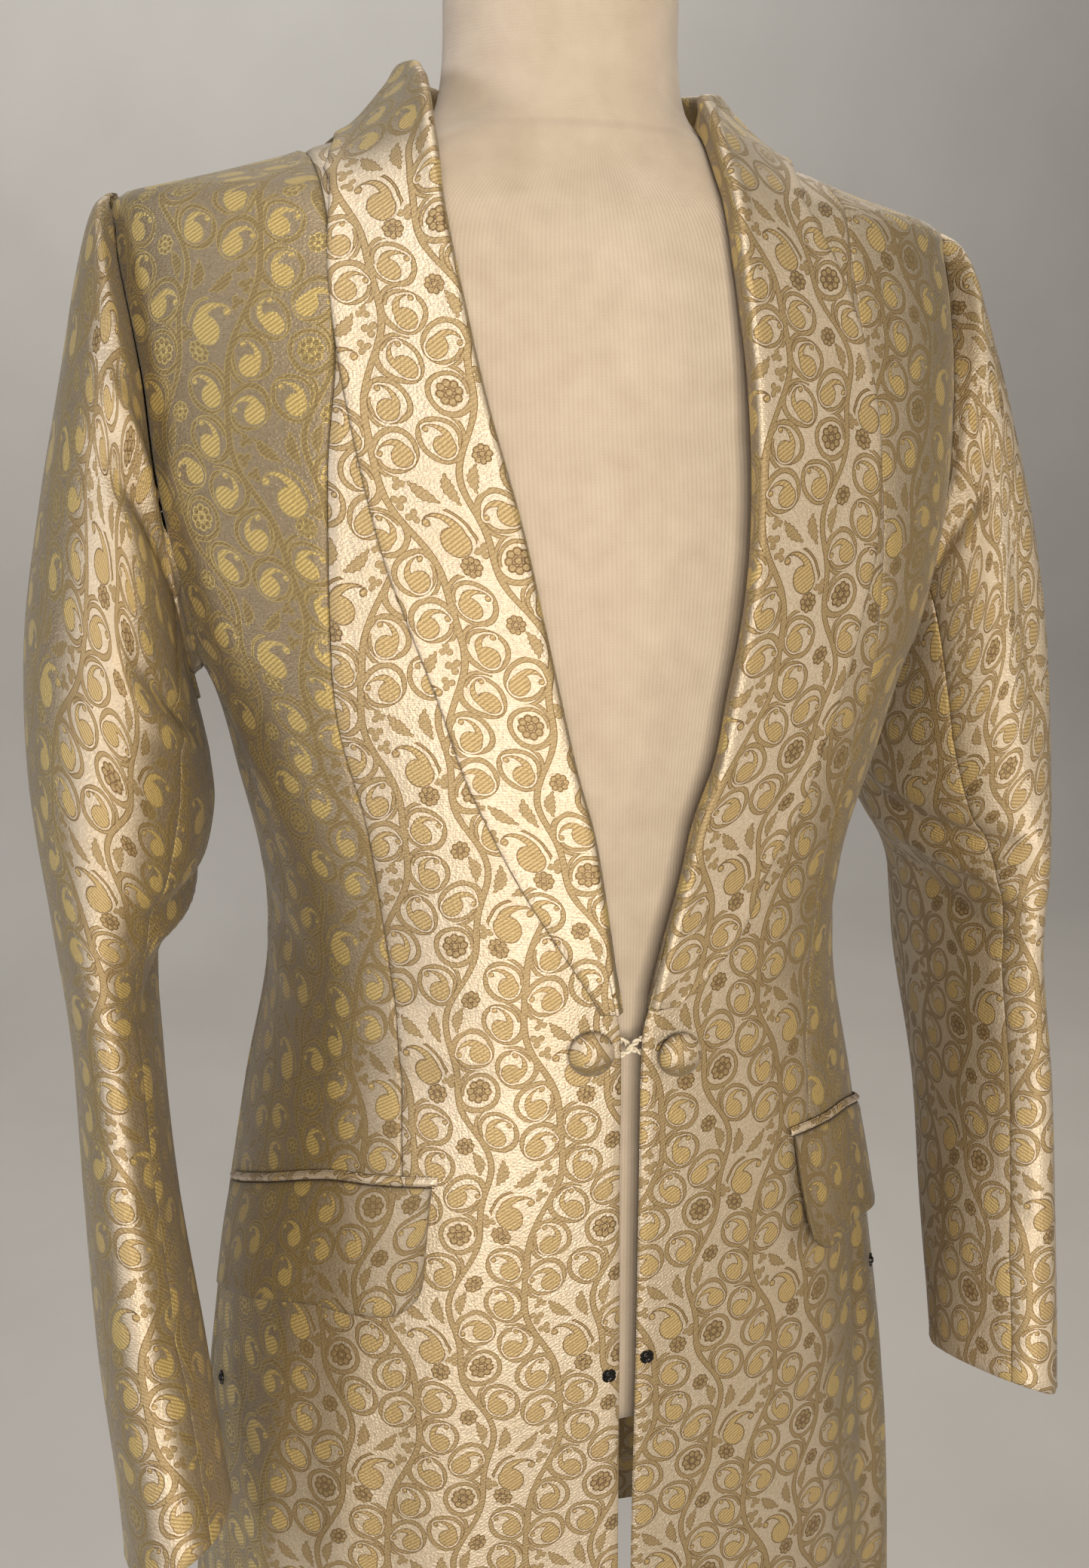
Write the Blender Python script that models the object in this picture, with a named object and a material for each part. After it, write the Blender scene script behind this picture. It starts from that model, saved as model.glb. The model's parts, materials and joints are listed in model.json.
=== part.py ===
"""Day coat on a dress form, as solids.

Metres, +Z up.  The front of the coat faces -Y and the wearer's left is +X.  The origin is on the
floor under the middle of the round base.

The coat body is one closed surface of level rings.  A place on it is an angle round the body
(0 at the centre front, 90 at the side, 180 at the centre back) and a height.  Each cut piece is
the stretch of that surface between its seams, given a wall inwards.  Sleeves are rings from the
armhole to the cuff, and the shawl collar is one bent strip that stands up from the front edge
and neckline, rolls over and falls on the coat.
"""

import math
from collections import namedtuple

import bmesh
import bpy
from mathutils import Vector

# Driving sizes
WALL = 0.002
SEAM_GAP = 0.0003
LAY_GAP = 0.0010
HEM_Z = 0.480
POCKET_JOIN_Z = 0.905
NECKLINE_Z = 1.4835
SHOULDER_TIP_Z = 1.446
UNDERARM_Z = 1.215
SIDE_SEAM = math.radians(93.0)
SHOULDER_SEAM = math.radians(90.0)
CENTRE_BACK = math.radians(180.0)

BUTTON_DIAMETER = 0.0235
BUTTON_HEIGHT = 0.0075
STUD_DIAMETER = 0.008
STUD_HEIGHT = 0.0022
CORD_DIAMETER = 0.0026
WELT_WIDTH = 0.005
COLLAR_TURN_RADIUS = 0.0026
BUTTON_SEAT = 0.0005
FORM_SEAT = 0.0008

FORM_BOTTOM_Z = 0.790
FORM_TOP_Z = 1.575
CAP_HEIGHT = 0.016
BASE_RADIUS = 0.200
BASE_HEIGHT = 0.018
HUB_RADIUS = 0.034
HUB_HEIGHT = 0.045
POLE_RADIUS = 0.016

# Level rings of the coat body: half width, front and back reach, where the ring is widest, and
# how square it is (2 is an ellipse)
BodyRing = namedtuple("BodyRing", "z half_width front back widest_y squareness")
BODY_RINGS = (
    BodyRing(0.480, 0.2320, -0.176, 0.152, -0.010, 2.20),
    BodyRing(0.720, 0.2190, -0.160, 0.137, -0.030, 2.20),
    BodyRing(0.860, 0.2020, -0.156, 0.128, -0.012, 2.25),
    BodyRing(0.960, 0.1840, -0.154, 0.117, 0.000, 2.30),
    BodyRing(1.040, 0.1670, -0.153, 0.094, 0.004, 2.30),
    BodyRing(1.100, 0.1680, -0.150, 0.090, 0.002, 2.30),
    BodyRing(1.160, 0.1800, -0.147, 0.102, -0.016, 2.30),
    BodyRing(1.200, 0.1890, -0.146, 0.110, -0.024, 2.35),
    BodyRing(1.240, 0.2050, -0.144, 0.116, -0.022, 2.40),
    BodyRing(1.300, 0.2205, -0.138, 0.119, -0.010, 2.40),
    BodyRing(1.360, 0.2264, -0.124, 0.116, -0.005, 2.30),
    BodyRing(1.400, 0.2276, -0.111, 0.108, 0.000, 2.20),
    BodyRing(1.430, 0.2255, -0.098, 0.099, 0.003, 2.10),
    BodyRing(1.446, 0.2215, -0.090, 0.091, 0.005, 2.00),
    BodyRing(1.455, 0.1870, -0.084, 0.084, 0.005, 2.00),
    BodyRing(1.465, 0.1500, -0.078, 0.078, 0.003, 2.00),
    BodyRing(1.475, 0.1160, -0.072, 0.070, 0.000, 2.00),
    BodyRing(1.487, 0.0780, -0.062, 0.060, -0.004, 2.00),
)

# Soft upright flutes of the skirt: angle in degrees, half width in degrees, rise at the hem
Flute = namedtuple("Flute", "angle spread rise")
FLUTE_TOP_Z = 0.930
FLUTES = (
    Flute(24.0, 9.0, 0.005),
    Flute(58.0, 7.0, 0.013),
    Flute(104.0, 9.0, 0.014),
    Flute(146.0, 10.0, 0.011),
)

# Front edge of each front, as a distance from the centre front; above the button it runs under
# the roll of the lapel and up to the neckline
FrontEdge = namedtuple("FrontEdge", "z right left")
FRONT_EDGE = (
    FrontEdge(0.480, 0.0025, 0.0045),
    FrontEdge(0.720, 0.0025, 0.0050),
    FrontEdge(0.850, 0.0035, 0.0058),
    FrontEdge(0.960, 0.0050, 0.0055),
    FrontEdge(1.040, 0.0060, 0.0055),
    FrontEdge(1.056, 0.0085, 0.0090),
    FrontEdge(1.088, 0.0140, 0.0170),
    FrontEdge(1.120, 0.0190, 0.0260),
    FrontEdge(1.150, 0.0245, 0.0330),
    FrontEdge(1.180, 0.0330, 0.0440),
    FrontEdge(1.214, 0.0410, 0.0500),
    FrontEdge(1.250, 0.0490, 0.0570),
    FrontEdge(1.288, 0.0570, 0.0610),
    FrontEdge(1.350, 0.0715, 0.0630),
    FrontEdge(1.404, 0.0800, 0.0615),
    FrontEdge(1.446, 0.0850, 0.0610),
    FrontEdge(1.465, 0.0860, 0.0600),
    FrontEdge(1.4835, 0.0840, 0.0600),
)

# Outer edge of each lapel, as a distance from the centre front
LapelEdge = namedtuple("LapelEdge", "z right left")
LAPEL_EDGE = (
    LapelEdge(1.056, 0.0175, 0.0220),
    LapelEdge(1.070, 0.0250, 0.0400),
    LapelEdge(1.088, 0.0360, 0.0580),
    LapelEdge(1.120, 0.0550, 0.0740),
    LapelEdge(1.150, 0.0700, 0.0930),
    LapelEdge(1.180, 0.0830, 0.1050),
    LapelEdge(1.214, 0.0940, 0.1160),
    LapelEdge(1.250, 0.1070, 0.1250),
    LapelEdge(1.288, 0.1190, 0.1330),
    LapelEdge(1.350, 0.1300, 0.1345),
    LapelEdge(1.404, 0.1335, 0.1220),
    LapelEdge(1.446, 0.1290, 0.1030),
)

# How high the roll stands on the lapel, and how far it leans over the front edge
LapelRoll = namedtuple("LapelRoll", "z height lean")
LAPEL_ROLL = (
    LapelRoll(1.056, 0.0048, 0.0),
    LapelRoll(1.120, 0.0070, 0.0005),
    LapelRoll(1.250, 0.0080, 0.0010),
    LapelRoll(1.404, 0.0095, 0.0010),
    LapelRoll(1.446, 0.0120, 0.0020),
)

# Each collar half's climb from the lapel to the side of the neck, by the height of its base: where
# its outer edge falls, and how high and how far in its roll is
CollarClimb = namedtuple("CollarClimb", "base_z edge_angle edge_z height lean")
RIGHT_CLIMB = (
    CollarClimb(1.4460, 35.6, 1.4460, 0.0160, 0.003),
    CollarClimb(1.4580, 45.0, 1.4570, 0.0190, 0.005),
    CollarClimb(1.4695, 57.0, 1.4665, 0.0215, 0.008),
    CollarClimb(NECKLINE_Z, 73.0, 1.4732, 0.0235, 0.011),
)
LEFT_CLIMB = (
    CollarClimb(1.4460, 27.7, 1.4460, 0.0110, 0.002),
    CollarClimb(1.4580, 34.0, 1.4545, 0.0120, 0.003),
    CollarClimb(1.4695, 44.0, 1.4635, 0.0130, 0.004),
    CollarClimb(NECKLINE_Z, 59.0, 1.4702, 0.0140, 0.005),
)

# The collar round the neck, by the angle of its base on the neckline; the left half lies lower
CollarNeck = namedtuple("CollarNeck", "base_angle edge_angle edge_z right_height left_height lean")
COLLAR_NECK = (
    CollarNeck(42.0, 59.0, 1.4702, 0.0200, 0.0140, 0.005),
    CollarNeck(70.0, 74.0, 1.4735, 0.0235, 0.0175, 0.011),
    CollarNeck(90.0, 93.0, 1.4755, 0.0245, 0.0205, 0.014),
    CollarNeck(112.0, 114.0, 1.4700, 0.0250, 0.0235, 0.014),
    CollarNeck(135.0, 136.0, 1.4600, 0.0260, 0.0255, 0.013),
    CollarNeck(158.0, 158.0, 1.4510, 0.0270, 0.0270, 0.012),
    CollarNeck(179.9, 179.9, 1.4480, 0.0280, 0.0280, 0.012),
)
NECK_STEPS = 10

# Seam between front and side front, from the pocket up to the shoulder, as a distance from the
# centre front
PrincessSeam = namedtuple("PrincessSeam", "z distance")
PRINCESS_SEAM = (
    PrincessSeam(0.905, 0.1150),
    PrincessSeam(0.970, 0.1150),
    PrincessSeam(1.020, 0.1140),
    PrincessSeam(1.050, 0.1150),
    PrincessSeam(1.100, 0.1200),
    PrincessSeam(1.150, 0.1270),
    PrincessSeam(1.200, 0.1390),
    PrincessSeam(1.240, 0.1420),
    PrincessSeam(1.320, 0.1400),
    PrincessSeam(1.365, 0.1340),
    PrincessSeam(1.410, 0.1310),
    PrincessSeam(1.446, 0.1330),
    PrincessSeam(1.4695, 0.1345),
)

# Armhole, as the angle of its front and back edge
Armhole = namedtuple("Armhole", "z front back")
ARMHOLE = (
    Armhole(1.2150, 93.0, 93.0),
    Armhole(1.2207, 86.0, 100.0),
    Armhole(1.2371, 79.0, 107.0),
    Armhole(1.2626, 75.0, 112.0),
    Armhole(1.3305, 73.0, 116.0),
    Armhole(1.3662, 73.5, 114.0),
    Armhole(1.3984, 78.0, 108.0),
    Armhole(1.4239, 85.0, 99.0),
    Armhole(1.4403, 88.5, 93.0),
    Armhole(1.4460, 90.0, 90.0),
)

# Sleeve rings below the armhole: the outer and the inner line of the arm, the middle and half
# the depth front to back, and how far the ring's front is tipped up
SleeveRing = namedtuple("SleeveRing", "outer_x outer_z inner_x inner_z middle_y half_depth tip")
SLEEVE_RINGS = (
    SleeveRing(0.2340, 1.4405, 0.2010, 1.206, -0.003, 0.058, 0.0),
    SleeveRing(0.2445, 1.4100, 0.1990, 1.196, -0.005, 0.067, 0.0),
    SleeveRing(0.2560, 1.3600, 0.1965, 1.183, -0.008, 0.076, 0.0),
    SleeveRing(0.2700, 1.3000, 0.1940, 1.165, -0.012, 0.083, 0.0),
    SleeveRing(0.2820, 1.2350, 0.1940, 1.140, -0.018, 0.087, 0.0),
    SleeveRing(0.2850, 1.1650, 0.2050, 1.105, -0.029, 0.086, 3.0),
    SleeveRing(0.2790, 1.0950, 0.2260, 1.072, -0.042, 0.081, 9.0),
    SleeveRing(0.2735, 1.0300, 0.2280, 1.020, -0.056, 0.075, 16.0),
    SleeveRing(0.2720, 0.9600, 0.2250, 0.955, -0.086, 0.067, 19.0),
    SleeveRing(0.2700, 0.8850, 0.2170, 0.885, -0.112, 0.061, 20.0),
    SleeveRing(0.2650, 0.8250, 0.2120, 0.835, -0.134, 0.057, 21.0),
    SleeveRing(0.2630, 0.7830, 0.2090, 0.806, -0.146, 0.054, 21.0),
)
SLEEVE_SIDES = 20
FRONT_SLEEVE_SEAM = 7
BACK_SLEEVE_SEAM = 14

# Pocket mouth, and the depth of the flap below it
PocketLine = namedtuple("PocketLine", "angle z depth")
POCKET_LINE = (
    PocketLine(30.0, 0.963, 0.071),
    PocketLine(40.0, 0.960, 0.072),
    PocketLine(52.0, 0.955, 0.070),
    PocketLine(70.0, 0.935, 0.066),
    PocketLine(88.0, 0.911, 0.062),
)
FLAP_CORNER_RADIUS = 0.024

# Neck of the dress form
FormRing = namedtuple("FormRing", "z half_width half_depth middle_y")
FORM_NECK = (
    FormRing(1.4825, 0.0740, 0.0600, -0.007),
    FormRing(1.4930, 0.0655, 0.0580, -0.006),
    FormRing(1.5150, 0.0610, 0.0565, -0.005),
    FormRing(1.5450, 0.0600, 0.0570, -0.005),
    FormRing(FORM_TOP_Z, 0.0590, 0.0570, -0.005),
)

# Small pieces: side of the wearer, angle or distance from the centre front, and height
Stud = namedtuple("Stud", "name side angle z")
STUDS = (
    Stud("stud_front_right", -1, 1.9, 0.846),
    Stud("stud_front_left", 1, 2.3, 0.854),
    Stud("stud_side_right", -1, 82.0, 0.802),
    Stud("stud_side_left", 1, 60.0, 0.842),
)
Button = namedtuple("Button", "name side distance z")
BUTTONS = (
    Button("button_right", -1, 0.0230, 1.037),
    Button("button_left", 1, 0.0235, 1.031),
)

# Finishes: base colour, roughness and metallic value
Finish = namedtuple("Finish", "colour roughness metallic")
BROCADE = Finish((0.58, 0.46, 0.29, 1.0), 0.55, 0.10)
CORD_SILK = Finish((0.80, 0.72, 0.56, 1.0), 0.60, 0.0)
STUD_METAL = Finish((0.20, 0.19, 0.18, 1.0), 0.30, 1.0)
FORM_JERSEY = Finish((0.72, 0.64, 0.53, 1.0), 0.90, 0.0)
CAP_WOOD = Finish((0.30, 0.17, 0.08, 1.0), 0.45, 0.0)
STAND_STEEL = Finish((0.45, 0.45, 0.45, 1.0), 0.35, 1.0)
BASE_PAINT = Finish((0.08, 0.08, 0.08, 1.0), 0.45, 0.0)


def clear_scene():
    """Remove every object that the file starts with."""
    for item in list(bpy.data.objects):
        bpy.data.objects.remove(item, do_unlink=True)


def make_material(name, finish):
    """Return a Principled material with one finish."""
    material = bpy.data.materials.new(name)
    material.use_nodes = True
    shader = material.node_tree.nodes["Principled BSDF"]
    shader.inputs["Base Color"].default_value = finish.colour
    shader.inputs["Roughness"].default_value = finish.roughness
    shader.inputs["Metallic"].default_value = finish.metallic
    return material


def slope_at(rows, index, column):
    """Return the slope of a column against the first column at one row."""
    low = max(index - 1, 0)
    high = min(index + 1, len(rows) - 1)
    return (rows[high][column] - rows[low][column]) / (rows[high][0] - rows[low][0])


def read_table(rows, key):
    """Return the table's row at a key, smooth between the given rows."""
    key = min(max(key, rows[0][0]), rows[-1][0])
    index = 0
    while index < len(rows) - 2 and key > rows[index + 1][0]:
        index += 1
    step = rows[index + 1][0] - rows[index][0]
    t = (key - rows[index][0]) / step
    start = 2 * t**3 - 3 * t**2 + 1
    start_slope = t**3 - 2 * t**2 + t
    end = 3 * t**2 - 2 * t**3
    end_slope = t**3 - t**2
    values = [key]
    for column in range(1, len(rows[0])):
        values.append(
            start * rows[index][column]
            + start_slope * step * slope_at(rows, index, column)
            + end * rows[index + 1][column]
            + end_slope * step * slope_at(rows, index + 1, column)
        )
    return type(rows[0])(*values)


def signed_power(value, power):
    """Return the power of a number's size, with its sign."""
    return math.copysign(abs(value) ** power, value)


def flute_rise(angle, z):
    """Return how far the skirt's flutes stand out at a place."""
    if z >= FLUTE_TOP_Z:
        return 0.0
    ramp = (FLUTE_TOP_Z - z) / (FLUTE_TOP_Z - HEM_Z)
    degrees = abs(math.degrees(angle))
    rise = sum(
        flute.rise * math.exp(-(((degrees - flute.angle) / flute.spread) ** 2)) for flute in FLUTES
    )
    return rise * ramp**1.2


def ring_point(angle, z):
    """Return the place on the coat's outer surface at an angle and a height."""
    ring = read_table(BODY_RINGS, z)
    forward = signed_power(math.cos(angle), 2.0 / ring.squareness)
    sideways = signed_power(math.sin(angle), 2.0 / ring.squareness)
    reach = ring.front if forward > 0.0 else ring.back
    y = ring.widest_y + (reach - ring.widest_y) * abs(forward)
    rise = flute_rise(angle, z)
    return Vector(
        (ring.half_width * sideways + rise * math.sin(angle), y - rise * math.cos(angle), z)
    )


def ring_normal(angle, z):
    """Return the outward direction of the coat's surface at a place."""
    turn = math.radians(0.6)
    lift = 0.0015
    around = ring_point(angle + turn, z) - ring_point(angle - turn, z)
    upward = ring_point(angle, z + lift) - ring_point(angle, z - lift)
    return around.cross(upward).normalized()


def body_point(angle, z, out=0.0):
    """Return a place a distance outside the coat's surface, or inside if negative."""
    point = ring_point(angle, z)
    if out:
        point = point + ring_normal(angle, z) * out
    return point


def angle_at_distance(distance, z):
    """Return the angle where the front is a distance from the centre front."""
    ring = read_table(BODY_RINGS, z)
    share = min(distance / ring.half_width, 1.0)
    return math.asin(share ** (ring.squareness / 2.0))


def shift_angle(angle, z, distance):
    """Return the angle moved along the surface by a small distance."""
    turn = math.radians(0.5)
    length = (ring_point(angle + turn, z) - ring_point(angle - turn, z)).length
    return angle + distance * 2.0 * turn / length


def front_edge_angle(z, side):
    """Return the angle of the front edge or neckline of one front."""
    row = read_table(FRONT_EDGE, z)
    return angle_at_distance(row.right if side < 0 else row.left, z)


def princess_angle(z):
    """Return the angle of the seam between front and side front."""
    return angle_at_distance(read_table(PRINCESS_SEAM, z).distance, z)


def armhole_levels():
    """Return the heights of the armhole's points, from the underarm up."""
    middle = (SHOULDER_TIP_Z + UNDERARM_Z) / 2.0
    half = (SHOULDER_TIP_Z - UNDERARM_Z) / 2.0
    half_turn = SLEEVE_SIDES // 2
    return [middle - half * math.cos(math.pi * k / half_turn) for k in range(half_turn + 1)]


def body_levels():
    """Return the heights that all cut pieces of the body share."""
    skirt = [HEM_Z, 0.540, 0.600, 0.660, 0.720, 0.780, 0.830, 0.870, POCKET_JOIN_Z]
    waist = [0.935, 0.965, 0.995, 1.020, 1.040, 1.056, 1.072, 1.096, 1.125, 1.155, 1.185]
    shoulder = [1.4525, 1.458, 1.4640, 1.4670, 1.4690, PRINCESS_SEAM[-1].z, 1.4770, NECKLINE_Z]
    return skirt + waist + armhole_levels() + shoulder


def spread(start, end, count):
    """Return count + 1 even values from start to end."""
    return [start + (end - start) * k / count for k in range(count + 1)]


def mirror(point, side):
    """Return the point on the wearer's side: +1 is left, -1 is right."""
    return Vector((point.x * side, point.y, point.z))


def add_object(name, mesh, material):
    """Put a mesh in the scene as one named piece."""
    mesh.materials.append(material)
    piece = bpy.data.objects.new(name, mesh)
    bpy.context.scene.collection.objects.link(piece)
    mesh.shade_smooth()
    mesh.set_sharp_from_angle(angle=math.radians(50.0))
    return piece


def wall_piece(name, outer, inner, material, keep=None):
    """Make a closed wall between two grids of points.

    Each grid is a list of rows; keep(row, column) says which cells are cloth.
    """
    work = bmesh.new()
    corners = {}

    def corner(layer, row, column):
        key = (layer, row, column)
        if key not in corners:
            grid = outer if layer else inner
            corners[key] = work.verts.new(grid[row][column])
        return corners[key]

    rim = {}
    for row in range(len(outer) - 1):
        for column in range(len(outer[0]) - 1):
            if keep and not keep(row, column):
                continue
            around = [
                (row, column),
                (row, column + 1),
                (row + 1, column + 1),
                (row + 1, column),
            ]
            work.faces.new([corner(1, *place) for place in around])
            work.faces.new([corner(0, *place) for place in reversed(around)])
            for start, end in zip(around, around[1:] + around[:1]):
                if (end, start) in rim:
                    del rim[(end, start)]
                else:
                    rim[(start, end)] = True
    for start, end in rim:
        work.faces.new([corner(1, *end), corner(1, *start), corner(0, *start), corner(0, *end)])
    bmesh.ops.recalc_face_normals(work, faces=work.faces)
    mesh = bpy.data.meshes.new(name)
    work.to_mesh(mesh)
    work.free()
    return add_object(name, mesh, material)


def panel_grids(levels, start_angle, end_angle, columns, side):
    """Return the outer and inner grids of a body piece between two seams."""
    outer = []
    inner = []
    for z in levels:
        start = shift_angle(start_angle(z), z, SEAM_GAP / 2.0)
        end = shift_angle(end_angle(z), z, -SEAM_GAP / 2.0)
        angles = spread(start, end, columns)
        outer.append([mirror(body_point(angle, z), side) for angle in angles])
        inner.append([mirror(body_point(angle, z, -WALL), side) for angle in angles])
    return outer, inner


def make_front(side, name, levels, material):
    """Make a front: from the front edge to the side seam below the pocket, and to the princess
    seam above it."""
    narrow = 5
    wide = 8
    join = levels.index(POCKET_JOIN_Z)
    outer = []
    inner = []
    for index, z in enumerate(levels):
        start = front_edge_angle(z, side)
        seam = princess_angle(max(z, POCKET_JOIN_Z))
        if z >= PRINCESS_SEAM[-1].z:
            seam = SHOULDER_SEAM
        if index == join:
            z -= SEAM_GAP / 2.0
        seam = shift_angle(seam, z, -SEAM_GAP / 2.0)
        end = shift_angle(SIDE_SEAM, z, -SEAM_GAP / 2.0)
        angles = spread(start, seam, narrow) + spread(seam, end, wide)[1:]
        outer.append([mirror(body_point(angle, z), side) for angle in angles])
        inner.append([mirror(body_point(angle, z, -WALL), side) for angle in angles])

    def keep(row, column):
        return column < narrow or row < join

    return wall_piece(name, outer, inner, material, keep)


def make_side_front(side, name, levels, material):
    """Make a side front: from the pocket up to the shoulder, between princess seam and armhole."""
    top = PRINCESS_SEAM[-1].z
    levels = [z for z in levels if POCKET_JOIN_Z <= z < top]
    levels[0] += SEAM_GAP / 2.0

    def outer_seam(z):
        if z <= UNDERARM_Z:
            return SIDE_SEAM
        if z >= SHOULDER_TIP_Z:
            return SHOULDER_SEAM
        return math.radians(read_table(ARMHOLE, z).front)

    outer, inner = panel_grids(levels, princess_angle, outer_seam, 5, side)
    return wall_piece(name, outer, inner, material)


def make_back(side, name, levels, material):
    """Make a half back: from the side seam, armhole and shoulder seam to the centre back."""

    def side_edge(z):
        if z <= UNDERARM_Z:
            return SIDE_SEAM
        if z >= SHOULDER_TIP_Z:
            return SHOULDER_SEAM
        return math.radians(read_table(ARMHOLE, z).back)

    outer, inner = panel_grids(levels, side_edge, lambda z: CENTRE_BACK, 9, side)
    return wall_piece(name, outer, inner, material)


def armhole_point(step):
    """Return the armhole's place at a step round the sleeve: 0 is the shoulder, then forwards."""
    half_turn = SLEEVE_SIDES // 2
    z = armhole_levels()[half_turn - step if step <= half_turn else step - half_turn]
    row = read_table(ARMHOLE, z)
    return body_point(math.radians(row.front if step <= half_turn else row.back), z)


def sleeve_point(ring, turn, inwards):
    """Return a place on a sleeve ring: turn 0 is the outer line, a quarter turn the front."""
    outer = Vector((ring.outer_x, ring.middle_y, ring.outer_z))
    inner = Vector((ring.inner_x, ring.middle_y, ring.inner_z))
    middle = (outer + inner) / 2.0
    across = (outer - inner) / 2.0
    across = across * (1.0 - inwards / across.length)
    tip = math.radians(ring.tip)
    forward = Vector((0.0, -math.cos(tip), math.sin(tip))) * (ring.half_depth - inwards)
    return middle + across * math.cos(turn) + forward * math.sin(turn)


def sleeve_grids(side):
    """Return the sleeve's outer and inner points, one row for each step round it."""
    middle = Vector((0.0, -0.004, (SHOULDER_TIP_Z + UNDERARM_Z) / 2.0))
    off_body = Vector((SEAM_GAP, 0.0, 0.0))
    outer = []
    inner = []
    for step in range(SLEEVE_SIDES):
        turn = 2.0 * math.pi * step / SLEEVE_SIDES
        start = armhole_point(step) + off_body
        toward = middle - start
        toward.x = 0.0
        outer.append(
            [mirror(start, side)]
            + [mirror(sleeve_point(ring, turn, 0.0), side) for ring in SLEEVE_RINGS]
        )
        inner.append(
            [mirror(start + toward.normalized() * WALL, side)]
            + [mirror(sleeve_point(ring, turn, WALL), side) for ring in SLEEVE_RINGS]
        )
    return outer, inner


def part_at_seam(rows, near, towards):
    """Return a row of points moved half a seam gap towards another row."""
    return [
        point + (other - point).normalized() * (SEAM_GAP / 2.0)
        for point, other in zip(rows[near], rows[towards])
    ]


def make_sleeve(side, top_name, under_name, material):
    """Make a two-piece sleeve: the top sleeve outside and the under sleeve against the body."""
    outer, inner = sleeve_grids(side)
    top_steps = [k % SLEEVE_SIDES for k in range(BACK_SLEEVE_SEAM, SLEEVE_SIDES + FRONT_SLEEVE_SEAM + 1)]
    under_steps = list(range(FRONT_SLEEVE_SEAM, BACK_SLEEVE_SEAM + 1))
    for name, steps in ((top_name, top_steps), (under_name, under_steps)):
        grids = []
        for grid in (outer, inner):
            rows = [list(grid[step]) for step in steps]
            first = part_at_seam(rows, 0, 1)
            last = part_at_seam(rows, -1, -2)
            rows[0] = first
            rows[-1] = last
            grids.append(rows)
        wall_piece(name, grids[0], grids[1], material)


def collar_stations(side):
    """Return the stations of one collar half as (base, edge, height, lean), base and edge being
    an angle and a height."""
    armhole = armhole_levels()
    crowded = (armhole[1], armhole[-2])
    stations = []
    for z in body_levels():
        if z < LAPEL_EDGE[0].z or z in crowded:
            continue
        base = (front_edge_angle(z, side), z)
        if z <= SHOULDER_TIP_Z:
            edge_row = read_table(LAPEL_EDGE, z)
            distance = edge_row.right if side < 0 else edge_row.left
            roll = read_table(LAPEL_ROLL, z)
            edge = (angle_at_distance(distance, z), z)
        else:
            roll = read_table(RIGHT_CLIMB if side < 0 else LEFT_CLIMB, z)
            edge = (math.radians(roll.edge_angle), roll.edge_z)
        stations.append((base, edge, roll.height, roll.lean))
    last_front = math.degrees(front_edge_angle(NECKLINE_Z, side))
    for angle in spread(last_front, COLLAR_NECK[-1].base_angle, NECK_STEPS)[1:]:
        roll = read_table(COLLAR_NECK, angle)
        edge = (math.radians(roll.edge_angle), roll.edge_z)
        height = roll.right_height if side < 0 else roll.left_height
        stations.append(((math.radians(angle), NECKLINE_Z), edge, height, roll.lean))
    return stations


def collar_profile(station, before, after):
    """Return the middle line of the collar strip at one station, from its base inside, up over
    the roll and down to its outer edge."""
    (base_angle, base_z), (edge_angle, edge_z), height, lean = station
    base = body_point(base_angle, base_z)
    up = ring_normal(base_angle, base_z)
    along = (body_point(*after[0]) - body_point(*before[0])).normalized()
    over = up.cross(along).normalized()
    if over.dot(body_point(edge_angle, edge_z) - base) < 0.0:
        over.negate()
    beside = -(SEAM_GAP + WALL / 2.0)
    line = [
        base + over * beside - up * (WALL * 0.5),
        base + over * (beside - lean * 0.45) + up * (height * 0.5),
        base + over * (beside - lean) + up * (height - COLLAR_TURN_RADIUS),
        base + over * (beside - lean + COLLAR_TURN_RADIUS) + up * height,
    ]
    fall = 6
    clear = WALL / 2.0 + LAY_GAP
    for step in range(1, fall + 1):
        t = step / fall
        left = (1.0 - t) ** 1.35
        angle = base_angle + (edge_angle - base_angle) * t
        z = base_z + (edge_z - base_z) * t
        place = body_point(angle, z)
        rise = clear + (height - clear) * left
        direction = (ring_normal(angle, z) * t + up * (1.0 - t)).normalized()
        line.append(place + direction * rise - over * (lean * left))
    return line, along


def make_collar(side, name, material):
    """Make one half of the shawl collar, from the button to the centre back."""
    stations = collar_stations(side)
    outer = []
    inner = []
    for index, station in enumerate(stations):
        before = stations[max(index - 1, 0)]
        after = stations[min(index + 1, len(stations) - 1)]
        line, along = collar_profile(station, before, after)
        out_row = []
        in_row = []
        for place, point in enumerate(line):
            ahead = line[min(place + 1, len(line) - 1)]
            behind = line[max(place - 1, 0)]
            normal = along.cross(ahead - behind).normalized() * (WALL / 2.0)
            out_row.append(mirror(point - normal, side))
            in_row.append(mirror(point + normal, side))
        outer.append(out_row)
        inner.append(in_row)
    for row in outer[-1:] + inner[-1:]:
        for point in row:
            point.x = side * SEAM_GAP / 2.0
    return wall_piece(name, outer, inner, material)


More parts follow.
